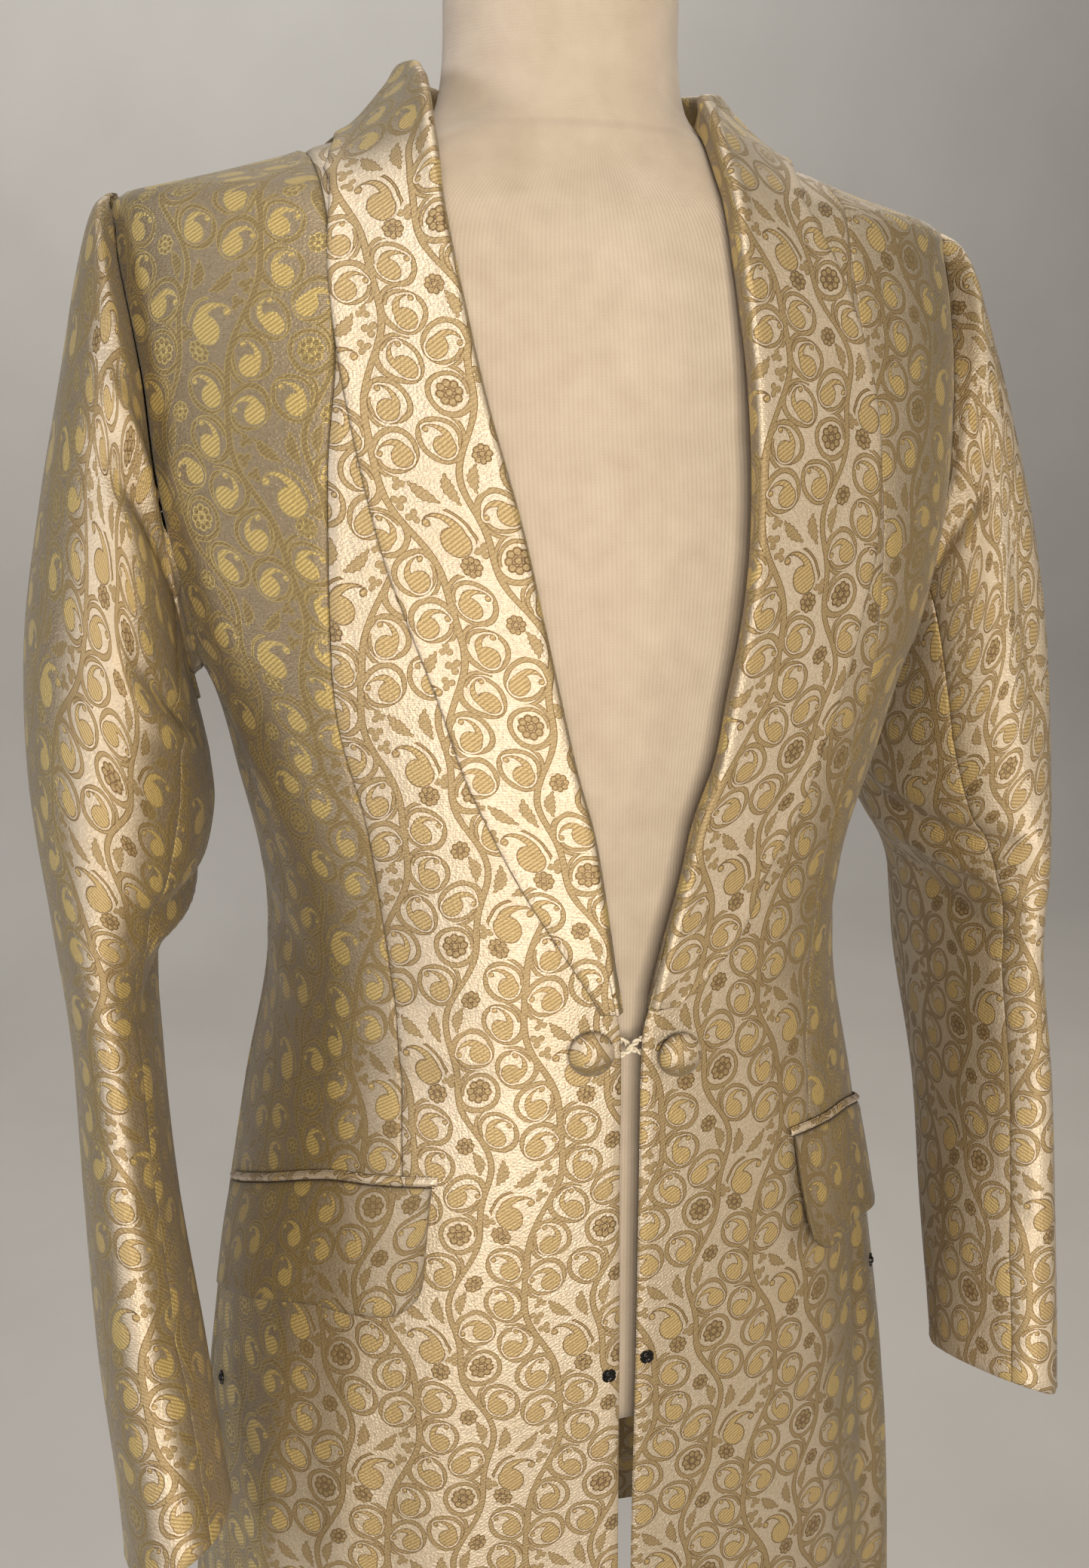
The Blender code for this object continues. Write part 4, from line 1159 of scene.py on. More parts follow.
class BrocadeDrawing:
    """Draws the woven figure in a node tree from a piece's map."""

    def __init__(self, tree: bpy.types.NodeTree, weave: BrocadeWeave) -> None:
        """Start from the map in metres, turned to millimetres and bent a little."""
        self.tree = tree
        self.weave = weave
        across, up = self.raw = cloth_millimetres(tree)
        turn = 2.0 * math.pi
        self.across = across + (up * (turn * 3.0 / weave.repeat_height) + 1.1).to("SINE") * 0.8
        self.up = up + (across * (turn * 2.0 / weave.repeat_width) + 0.4).to("SINE") * 1.1
        joined = add_node(tree, "ShaderNodeCombineXYZ", None, {0: self.across, 1: self.up})
        self.place = joined.outputs[0]

    def vector(self, operation: str, *inputs: object) -> bpy.types.Node:
        """Return a Vector Math node."""
        settings = {"operation": operation}
        return add_node(self.tree, "ShaderNodeVectorMath", settings, dict(enumerate(inputs)))

    def nearest_motif(self) -> tuple[Number, Number, Number]:
        """Return the place in the nearest motif, from its middle, and the motif's number."""
        weave = self.weave
        half = (weave.repeat_width / 2.0, weave.repeat_height / 2.0)
        high = (*half, 9.0)
        low = (-half[0], -half[1], -9.0)
        best = None
        chosen = None
        for number, motif in enumerate(MOTIFS):
            for mirrored in (False, True):
                across = half[0] - motif.across if mirrored else motif.across
                up = motif.up + half[1] if mirrored else motif.up
                off = self.vector("SUBTRACT", self.place, (across, up, -number * 0.001)).outputs[0]
                off = self.vector("WRAP", off, high, low).outputs[0]
                if mirrored:
                    off = self.vector("MULTIPLY", off, (-1.0, 1.0, 1.0)).outputs[0]
                square = Number(self.tree, self.vector("DOT_PRODUCT", off, off).outputs[1])
                room = ROOM[motif.filling] * motif.size
                power = square - room * room
                if chosen is None:
                    best, chosen = power, off
                    continue
                nearer = power.to("LESS_THAN", best)
                best = power.least(best)
                inputs = {0: nearer, 4: chosen, 5: off}
                mix = add_node(self.tree, "ShaderNodeMix", {"data_type": "VECTOR"}, inputs)
                chosen = mix.outputs[1]
        parts = add_node(self.tree, "ShaderNodeSeparateXYZ", None, {0: chosen})
        return tuple(Number(self.tree, parts.outputs[k]) for k in range(3))

    def chart(self, number: Number) -> tuple[Number, ...]:
        """Return a motif's key, ring turn, filling turn and size from its number."""
        share = number * (1000.0 / len(MOTIFS)) + 0.5 / len(MOTIFS)
        node = add_node(self.tree, "ShaderNodeValToRGB", None, {"Fac": share})
        ramp = node.color_ramp
        ramp.interpolation = "CONSTANT"
        for index, motif in enumerate(MOTIFS):
            at = index / len(MOTIFS)
            stop = ramp.elements[0] if index == 0 else ramp.elements.new(at)
            stop.position = at
            turns = (motif.ring_turn / 360.0, motif.filling_turn / 360.0)
            stop.color = (motif.filling.value, *turns, motif.size / 2.0)
        ramp.elements.remove(ramp.elements[-1])
        colour = add_node(self.tree, "ShaderNodeSeparateColor", None, {0: node.outputs["Color"]})
        values = [Number(self.tree, colour.outputs[k]) for k in range(3)]
        return (*values, Number(self.tree, node.outputs["Alpha"]) * 2.0)

    def polar(self, x: Number, y: Number) -> tuple[Number, Number]:
        """Return the distance from the middle and the angle of a place."""
        radius = (x * x + y * y).to("SQRT")
        return radius, y.to("ARCTAN2", x)

    def turned(self, x: Number, y: Number, turn: Number) -> tuple[Number, Number]:
        """Return a place turned by a share of a whole turn."""
        angle = turn * (2.0 * math.pi)
        cosine = angle.to("COSINE")
        sine = angle.to("SINE")
        return x * cosine + y * sine, y * cosine - x * sine

    def disc(self, place: bpy.types.Node, disc: Disc) -> Number:
        """Return the distance to a disc."""
        off = self.vector("DISTANCE", place, (disc.across, disc.up, 0.0))
        return Number(self.tree, off.outputs[1]) - disc.radius

    def paisley(self, x: Number, y: Number) -> Number:
        """Return the distance to a paisley with a curled horn."""
        place = add_node(self.tree, "ShaderNodeCombineXYZ", None, {0: x, 1: y}).outputs[0]
        horn = self.disc(place, HORN_OUTSIDE).most(-self.disc(place, HORN_INSIDE))
        horn = horn.most(x - PAISLEY_KNOB.across).most(y * -1.0 + PAISLEY_END.up)
        return horn.least(self.disc(place, PAISLEY_END)).least(self.disc(place, PAISLEY_KNOB))

    def stems(self) -> Number:
        """Return the distance to the winding stems."""
        nearest = None
        phase = self.up * (2.0 * math.pi / self.weave.repeat_height)
        half = self.weave.repeat_width / 2.0
        for stem in STEMS:
            first = (phase + stem.start).to("SINE")
            third = (phase * 3.0 + stem.start).to("SINE")
            middle = first * stem.swing + third * stem.second_swing + stem.middle
            off = (self.across - middle).to("WRAP", half, -half)
            distance = off.to("ABSOLUTE") * 0.88 - stem.half_width
            nearest = distance if nearest is None else distance.least(nearest)
        return nearest

    def ring(self, x: Number, y: Number) -> Number:
        """Return the distance to the spiral ring and the tail that leaves it."""
        radius, angle = self.polar(x, y)
        share = angle * (0.5 / math.pi) + 0.5
        off = radius - self.weave.ring_radius
        ring = (off + share * 2.0).to("ABSOLUTE") - (share * -0.75 + 1.65)
        away = share * -1.0 + 1.0
        tail = (off - away * away * 30.0).to("ABSOLUTE") - 1.05
        tail = tail.most((away - 0.26) * 40.0)
        return ring.least(tail)

    def rosette(self, x: Number, y: Number) -> tuple[Number, Number]:
        """Return the distance to an eight-petalled rosette, and to the lines in it."""
        radius, angle = self.polar(x, y)
        sector = angle.to("WRAP", math.pi / 8.0, -math.pi / 8.0)
        along = radius * sector.to("COSINE") - 3.45
        aside = radius * sector.to("SINE")
        petal = (along * along + aside * aside).to("SQRT") - 1.50
        middle = radius - 1.45
        return petal.least(middle), petal.to("ABSOLUTE").least(middle.to("ABSOLUTE")) - 0.30

    def other_than(self, key: Number, filling: Filling) -> Number:
        """Return 0 in one kind of motif and a far distance in the others."""
        return key.to("COMPARE", filling.value, 0.05) * -FAR + FAR

    def draw(self) -> WovenFigure:
        """Draw every part of the figure."""
        weave = self.weave
        x, y, number = self.nearest_motif()
        key, ring_turn, filling_turn, size = self.chart(number)
        divide = add_node(self.tree, "ShaderNodeMath", {"operation": "DIVIDE"}, {0: 1.0, 1: size})
        shrink = Number(self.tree, divide.outputs[0])
        x = x * shrink
        y = y * shrink
        unringed = key.to("GREATER_THAN", 0.3) * FAR
        not_large = self.other_than(key, Filling.LONE_PAISLEY)
        not_leaf = self.other_than(key, Filling.LEAF)
        not_bud = self.other_than(key, Filling.BUD)
        not_ringed_rosette = self.other_than(key, Filling.RINGED_ROSETTE)
        not_rosette = not_ringed_rosette.least(self.other_than(key, Filling.FREE_ROSETTE))
        not_paisley = not_large.least(key.to("GREATER_THAN", 0.1) * FAR)

        ring = self.ring(*self.turned(x, y, ring_turn)) + unringed
        fill_x, fill_y = self.turned(x, y, filling_turn)
        large = not_large * (-1.0 / FAR) + 1.0
        scale = large * (1.0 / weave.large_scale - weave.paisley_scale) + weave.paisley_scale
        body = self.paisley(fill_x * scale, fill_y * scale)
        paisley = body + not_paisley
        crescent = (body - 1.7).to("ABSOLUTE") - 0.55
        crescent = crescent.most(fill_x * scale * 0.8).most(fill_y * scale - 6.0) + not_large

        reach = fill_y * (1.0 / weave.leaf_length) + 0.5
        teeth = (reach * 6.0).to("PINGPONG", 0.5) * 1.5
        blade = (reach.to("ADD", 0.0, clamp=True) * math.pi).to("SINE") * 3.0 + teeth * 1.1 - 0.7
        bend = (reach - 0.5) * (reach - 0.5) * 7.0
        leaf = (fill_x + bend - 1.0).to("ABSOLUTE") - blade
        leaf = leaf.most((reach - 0.5).to("ABSOLUTE") * 14.0 - 7.0) + not_leaf

        radius, angle = self.polar(fill_x, fill_y)
        bud = radius - (angle * 1.5).to("COSINE").to("ABSOLUTE") * 2.7 - 1.4 + not_bud

        grow = not_ringed_rosette.to("LESS_THAN", 1.0) * -0.2 + 1.0
        rosette, lines = self.rosette(fill_x * grow, fill_y * grow)
        rosette = rosette + not_rosette
        lines = lines + not_rosette

        vines = self.stems().least(ring).least(crescent).least(leaf).least(bud)
        vines = vines.most(-(paisley - 0.7))
        band = vines.least(rosette)
        rim = (band + 0.20).to("ABSOLUTE") - 0.17
        rim = rim.least((paisley + 0.22).to("ABSOLUTE") - 0.20).least(lines)

        across, up = self.raw
        threads = (across * 0.31 - up * 0.47).to("FRACT").to("PINGPONG", 0.5) * 2.0
        return WovenFigure(
            vine=band.inside(),
            gold=(paisley + 0.3).inside(),
            outline=rim.inside(0.24),
            hatch=threads,
        )


class ClothSide(Enum):
    """The side of the cloth that a material shows."""

    FACE = "face"
    BACK = "back"


def principled(name: str) -> tuple[bpy.types.NodeTree, bpy.types.Node, bpy.types.Material]:
    """Return a new material's tree, its shader and the material."""
    material = bpy.data.materials.new(name)
    material.use_nodes = True
    tree = material.node_tree
    return tree, tree.nodes["Principled BSDF"], material


def mix_colours(
    tree: bpy.types.NodeTree, share: object, first: object, second: object
) -> bpy.types.NodeSocket:
    """Return the mix of two colours, given as sockets or sRGB hex values, by a share."""
    ends = [linear_colour(end) if isinstance(end, str) else end for end in (first, second)]
    inputs = {0: share, 6: ends[0], 7: ends[1]}
    return add_node(tree, "ShaderNodeMix", {"data_type": "RGBA"}, inputs).outputs[2]


def paint_edge_shadow(
    tree: bpy.types.NodeTree, colour: bpy.types.NodeSocket, shade: str
) -> bpy.types.NodeSocket:
    """Return a colour with a painted shadow mixed in along the piece's edges and seams."""
    tone = add_node(tree, "ShaderNodeAttribute", {"attribute_name": "painted_edge_shade"})
    return mix_colours(tree, tone.outputs["Fac"], colour, shade)


def wandering(
    tree: bpy.types.NodeTree,
    place: bpy.types.NodeSocket,
    scale: float,
    detail: float,
    gain: float,
) -> Number:
    """Return a share that wanders between 0 and 1 over a piece.

    Args:
        tree: The node tree.
        place: The piece's own coordinates.
        scale: How often it changes in one unit of these.
        detail: How many finer changes lie over the first.
        gain: How steeply it goes from 0 to 1.

    Returns:
        The share.
    """
    inputs = {"Vector": place, "Scale": scale, "Detail": detail}
    noise = add_node(tree, "ShaderNodeTexNoise", None, inputs)
    return Number(tree, noise.outputs[0]).to("MULTIPLY_ADD", gain, 0.5 - gain / 2.0, clamp=True)


@dataclass(frozen=True)
class BrocadeCloth:
    """Silk and metal jacquard, woven in figured satin.

    The satin ground gives a soft lustre; the gold weft stands up a little and glints from its metal
    finish.  Where the cloth turns from the light, its darker satin and brighter gold outlines are
    painted shade and painted glints, from the shaded copy of its colours.
    """

    weave: BrocadeWeave = BrocadeWeave()
    rib_mm: float = 0.55
    thread_mm: float = 1.3
    relief: float = 0.00035
    # Colour of the painted shadow along edges and seams
    painted_edge_shadow_colour: str = "#4f3f26"

    def make(self, side: ClothSide) -> bpy.types.Material:
        """Return the material of one side of the cloth."""
        tree, shader, material = principled(f"jacquard_{side.value}")
        weave = self.weave
        drawing = BrocadeDrawing(tree, weave)
        figure = drawing.draw()
        # Painted light and shade: each colour is mixed between its lit and shaded copy by the painted
        # satin shade; the reverse leans to the shaded copy
        painted_satin_shade = add_node(tree, "ShaderNodeAttribute", {"attribute_name": "painted_satin_shade"}).outputs["Fac"]
        if side is ClothSide.BACK:
            painted_satin_shade = (Number(tree, painted_satin_shade) * 0.4 + 0.6).socket
        late = Number(tree, painted_satin_shade).to("POWER", 3.5)
        shares = (painted_satin_shade, painted_satin_shade, painted_satin_shade, late, painted_satin_shade, late)
        pairs = zip(shares, weave.light, weave.shaded_tones)
        tones = [mix_colours(tree, share, light, shaded_tones) for share, light, shaded_tones in pairs]
        ground, ground_shade, vine, outline, gold, gold_shade = tones
        place = add_node(tree, "ShaderNodeTexCoord").outputs["Object"]
        mottle = wandering(tree, place, 38.0, 4.0, 2.0)
        rib = (drawing.raw[1] * (2.0 * math.pi / self.rib_mm)).to("SINE")
        # The uneven lie of the threads, drawn as coarse as it needs to show
        thread = wandering(tree, place, 1000.0 / self.thread_mm, 1.0, 2.6)
        colour = mix_colours(tree, mottle * 0.35 + thread * 0.40, ground, ground_shade)
        vine_tone = mix_colours(tree, figure.hatch * 0.35, vine, outline)
        colour = mix_colours(tree, figure.vine, colour, vine_tone)
        gold_tone = mix_colours(tree, figure.hatch * 0.75, gold, gold_shade)
        colour = mix_colours(tree, figure.gold, colour, gold_tone)
        colour = mix_colours(tree, figure.outline * 0.85, colour, outline)
        colour = paint_edge_shadow(tree, colour, self.painted_edge_shadow_colour)

        figured = figure.gold.most(figure.vine)
        height = (rib * 0.5 + figure.hatch) * 0.4 + mottle + thread * 1.1
        inputs = {"Strength": 0.6, "Distance": self.relief, "Height": height}
        bump = add_node(tree, "ShaderNodeBump", None, inputs)
        finish = {
            "Base Color": colour,
            "Metallic": figured * -0.04 + figure.outline * 0.25 + thread * 0.16 + 0.40,
            "Roughness": figured * 0.10 + figure.outline * -0.08 + mottle * 0.06 + 0.40,
            "Sheen Weight": 0.10,
            "Sheen Roughness": 0.45,
            "Normal": bump.outputs[0],
        }
        feed(tree, shader, finish)
        return material


@dataclass(frozen=True)
class JerseyCover:
    """Undyed cotton jersey stretched on a padded form: matt, with fine upright wales."""

    colour: str = "#cdbba3"
    shade: str = "#b5a189"
    # Colour of the painted shadow in the cover's seam grooves
    painted_seam_shadow_colour: str = "#8a7560"
    wale_mm: float = 1.5
    relief: float = 0.0004

    def make(self) -> bpy.types.Material:
        """Return the cover's material."""
        tree, shader, material = principled("cotton_jersey")
        place = add_node(tree, "ShaderNodeTexCoord").outputs["Object"]
        across, up = cloth_millimetres(tree)
        wale = (across * (math.pi / self.wale_mm)).to("SINE").to("ABSOLUTE")
        stitch = ((up * (1.0 / self.wale_mm) + wale * 0.6) * (2.0 * math.pi)).to("SINE") * 0.5 + 0.5
        loops = wale * 0.6 + stitch * 0.4
        mottle = wandering(tree, place, 60.0, 5.0, 2.2)
        share = (mottle * 0.5 + loops * -0.45 + 0.45).to("ADD", 0.0, clamp=True)
        colour = mix_colours(tree, share, self.colour, self.shade)
        inputs = {"Strength": 0.5, "Distance": self.relief, "Height": loops}
        bump = add_node(tree, "ShaderNodeBump", None, inputs)
        finish = {
            "Base Color": paint_edge_shadow(tree, colour, self.painted_seam_shadow_colour),
            "Roughness": 0.88,
            "Sheen Weight": 0.25,
            "Normal": bump.outputs[0],
        }
        feed(tree, shader, finish)
        return material


@dataclass(frozen=True)
class Finish:
    """A plain finish with a fine grain, drawn from a noise stretched along one axis.

    Attributes:
        name: The real material's name.
        colour: The main colour.
        shade: The colour of the grain.
        roughness: Mean roughness.
        metallic: 1 for bare metal.
        grain: The noise's scale along X, Y and Z, per metre.
        relief: Height of the grain in metres.
        coat: Strength of a clear coat.
    """

    name: str
    colour: str
    shade: str
    roughness: float
    metallic: float = 0.0
    grain: tuple[float, float, float] = (200.0,) * 3
    relief: float = 0.0001
    coat: float = 0.0

    def make(self) -> bpy.types.Material:
        """Return the finish as a material."""
        tree, shader, material = principled(self.name)
        place = add_node(tree, "ShaderNodeTexCoord").outputs["Object"]
        inputs = {"Vector": place, "Scale": self.grain}
        stretch = add_node(tree, "ShaderNodeMapping", None, inputs)
        share = wandering(tree, stretch.outputs[0], 1.0, 6.0, 2.4)
        inputs = {"Strength": 0.4, "Distance": self.relief, "Height": share}
        bump = add_node(tree, "ShaderNodeBump", None, inputs)
        finish = {
            "Base Color": mix_colours(tree, share, self.colour, self.shade),
            "Roughness": share * 0.16 + (self.roughness - 0.08),
            "Metallic": self.metallic,
            "Coat Weight": self.coat,
            "Normal": bump.outputs[0],
        }
        feed(tree, shader, finish)
        return material


# Twisted silk cord, matt, its plies seen as light and dark
CORD_SILK = Finish("twisted_silk_cord", "#f1e7d3", "#d3c19c", 0.6, grain=(900.0,) * 3)
# Nickel-plated brass press stud, tarnished dark
STUD_METAL = Finish("tarnished_plated_brass", "#4a4743", "#2b2826", 0.36, 1.0, (500.0,) * 3)
# Turned beech, stained and varnished: grain runs across the cap
CAP_BEECH = Finish("stained_beech", "#7b4d2a", "#543117", 0.42, 0.0, (20.0, 220.0, 220.0), coat=0.3)
# Drawn steel tube, satin ground: fine upright lines
POLE_STEEL = Finish("satin_steel_tube", "#a9aaab", "#8e9092", 0.34, 1.0, (700.0, 700.0, 9.0), 0.00003)
# Cast iron base under black enamel
BASE_ENAMEL = Finish("black_enamel", "#232324", "#171718", 0.42, 0.0, (90.0,) * 3, coat=0.25)


@dataclass
class SewnPart:
    """A part of the coat on one side of the wearer: -1 for the right and 1 for the left."""

    side: int

    @property
    def word(self) -> str:
        """Return the side's name."""
        return "right" if self.side < 0 else "left"

    def names(self, *panels: str) -> tuple[str, ...]:
        """Return the names of this side's panels."""
        return tuple(f"{panel}_{self.word}_cloth" for panel in panels)


@dataclass
class CoatBody(SewnPart):
    """The coat's front, side front and back on one side of the wearer."""

    row_pitch: float = 0.0048
    front_columns: int = 34
    skirt_columns: int = 44

    def rows(self, low: float, high: float) -> Array:
        """Return the heights of a panel's rows."""
        count = max(int((high - low) / self.row_pitch), 4)
        return low + (high - low) * edge_steps(count, high - low)

    def front(self) -> ClothPiece:
        """Return the front: narrow above the pocket, out to the side seam below it."""
        surface = CoatSurface(self.side)
        lower = self.rows(HEM_Z, POCKET_JOIN_Z - SEAM_GAP / 2.0)
        upper = self.rows(POCKET_JOIN_Z, NECKLINE_Z)
        z = np.concatenate([lower, upper[upper > lower[-1] + 0.0001]])
        above = np.maximum(z, POCKET_JOIN_Z)
        seam = surface.angle_at(read_rows(PRINCESS_SEAM, above).distance, above)
        seam = np.where(z >= PRINCESS_SEAM[-1].z, math.radians(SHOULDER_SEAM), seam)
        seam = surface.shift(seam, z, -SEAM_GAP / 2.0)
        start = surface.sided(FRONT_EDGE, z)
        end = surface.shift(np.full(z.shape, math.radians(SIDE_SEAM)), z, -SEAM_GAP / 2.0)
        first = edge_steps(self.front_columns, 0.12)
        second = edge_steps(self.skirt_columns, 0.18)[1:]
        angle = np.concatenate(
            [
                start[:, None] + (seam - start)[:, None] * first,
                seam[:, None] + (end - seam)[:, None] * second,
            ],
            axis=1,
        )
        z_grid = spread(z, angle.shape[1])
        outer, normal = surface.draped(angle, z_grid)
        join = int(np.searchsorted(z, POCKET_JOIN_Z))
        split = len(first) - 1
        keep = np.ones((len(z) - 1, angle.shape[1] - 1), bool)
        keep[join - 1 :, split:] = False
        edges = edge_distance(outer)
        edges[join:, : split + 1] = edge_distance(outer[:, : split + 1])[join:]
        # Painted shade: below the pocket it deepens from beside the pocket toward the side seam
        beside = np.clip((np.degrees(angle) - 28.0) / 42.0, 0.0, 1.0) * (z_grid < POCKET_JOIN_Z)
        painted_satin_shade = FRONT_PAINTED_SHADE.at(self.side) + BESIDE_POCKET_PAINTED_SHADE.at(self.side) * beside
        return ClothPiece(
            node=f"front_{self.word}",
            outer=outer,
            normal=normal,
            cloth_map=surface.cloth_map(angle, z_grid, 0.0),
            laid_at=(0.011 * self.side, 0.0),
            edges=edges,
            keep=keep,
            painted_satin_shade=painted_satin_shade,
        )

    def panel(
        self,
        name: str,
        z: Array,
        seams: tuple[Array, Array],
        columns: int,
        grain: float,
        painted_satin_shade: Array | float,
    ) -> ClothPiece:
        """Return a panel between two seams.

        Args:
            name: The solid's name.
            z: Heights of its rows.
            seams: Angles of the seam nearer the front and of the other one, in radians.
            columns: How many columns it has inside its edges.
            grain: Where its grain is upright, in degrees.
            painted_satin_shade: How far its satin is turned from the light, from 0 to 1.

        Returns:
            The panel.
        """
        surface = CoatSurface(self.side)
        start = surface.shift(seams[0], z, SEAM_GAP / 2.0)
        end = surface.shift(seams[1], z, -SEAM_GAP / 2.0)
        share = edge_steps(columns, 0.14)
        angle = start[:, None] + (end - start)[:, None] * share
        z_grid = spread(z, angle.shape[1])
        outer, normal = surface.draped(angle, z_grid)
        return ClothPiece(
            node=name,
            outer=outer,
            normal=normal,
            cloth_map=surface.cloth_map(angle, z_grid, grain),
            laid_at=(0.019 * self.side, 0.031 * (1.0 + 0.4 * self.side)),
            painted_satin_shade=painted_satin_shade,
        )

    def side_front(self) -> ClothPiece:
        """Return the side front, from the pocket to the shoulder."""
        z = self.rows(POCKET_JOIN_Z + SEAM_GAP / 2.0, PRINCESS_SEAM[-1].z - 0.0005)
        armhole = read_rows(ARMHOLE, z).front
        above = np.where(z >= SHOULDER_TIP_Z, SHOULDER_SEAM, armhole)
        outer_seam = np.where(z <= UNDERARM_Z, SIDE_SEAM, above)
        princess = CoatSurface(self.side).angle_at(read_rows(PRINCESS_SEAM, z).distance, z)
        name = f"side_front_{self.word}"
        # Painted shade that grows with height, from the side front's value up to the shoulder's
        low, high = SIDE_FRONT_PAINTED_SHADE.at(self.side), SHOULDER_PAINTED_SHADE.at(self.side)
        painted_satin_shade = np.clip(low + (z[:, None] - 1.05) * 3.0, low, high)
        return self.panel(name, z, (princess, np.radians(outer_seam)), 26, 62.0, painted_satin_shade)

    def back(self) -> ClothPiece:
        """Return the half back."""
        z = self.rows(HEM_Z, NECKLINE_Z)
        armhole = read_rows(ARMHOLE, z).back
        above = np.where(z >= SHOULDER_TIP_Z, SHOULDER_SEAM, armhole)
        seam = np.where(z <= UNDERARM_Z, SIDE_SEAM, above)
        end = np.full(z.shape, math.radians(CENTRE_BACK))
        return self.panel(f"back_{self.word}", z, (np.radians(seam), end), 52, 176.0, BACK_PAINTED_SHADE)

    def pieces(self) -> list[ClothPiece]:
        """Return the body's cut pieces on this side."""
        return [self.front(), self.side_front(), self.back()]


@dataclass
class Sleeve(SewnPart):
    """A two-piece sleeve with its seams in front of and behind the arm."""

    ring_steps: int = 11

    def part(self, name: str, start: float, end: float, columns: int, painted_satin_shade: float) -> ClothPiece:
        """Return the top or the under sleeve, between two turns in degrees."""
        surface = SleeveSurface(self.side)
        share = edge_steps(columns, 0.20)
        gap = 0.15
        turn = np.radians(start + gap / 2.0 + (end - start - gap) * share)
        level = len(SLEEVE_RINGS) * edge_steps(self.ring_steps * len(SLEEVE_RINGS), 0.68)
        outer, normal = surface.draped(turn, level)
        outer[:3] += unit(outer[:3] - outer[6:9]) * np.array(HEAD_REACH)[:, None, None]
        across = length_along(outer, axis=1)
        across = (across - across[:, -1:] / 2.0) * self.side
        along = np.linalg.norm(np.diff(outer, axis=0), axis=-1).mean(axis=1)
        along = -np.concatenate([[0.0], np.cumsum(along)])
        maps = np.stack([across, spread(along, len(turn))], axis=-1)
        return ClothPiece(
            node=name,
            outer=outer,
            normal=normal,
            cloth_map=maps,
            laid_at=(0.013, 0.047 * self.side),
            rests_on=self.names("side_front", "back"),
            painted_satin_shade=painted_satin_shade,
            painted_shade_turn=SLEEVE_PAINTED_SHADE_TURN.at(self.side),
        )

    def pieces(self) -> list[ClothPiece]:
        """Return the sleeve's two cut pieces."""
        front, back = FRONT_SLEEVE_SEAM, BACK_SLEEVE_SEAM
        # Painted satin shade of the top and the under sleeve
        top_painted_shade = TOPSLEEVE_PAINTED_SHADE.at(self.side)
        under_painted_shade = UNDERSLEEVE_PAINTED_SHADE.at(self.side)
        top = self.part(f"topsleeve_{self.word}", back, 360.0 + front, 52, top_painted_shade)
        under = self.part(f"undersleeve_{self.word}", front, back, 30, under_painted_shade)
        return [top, under]


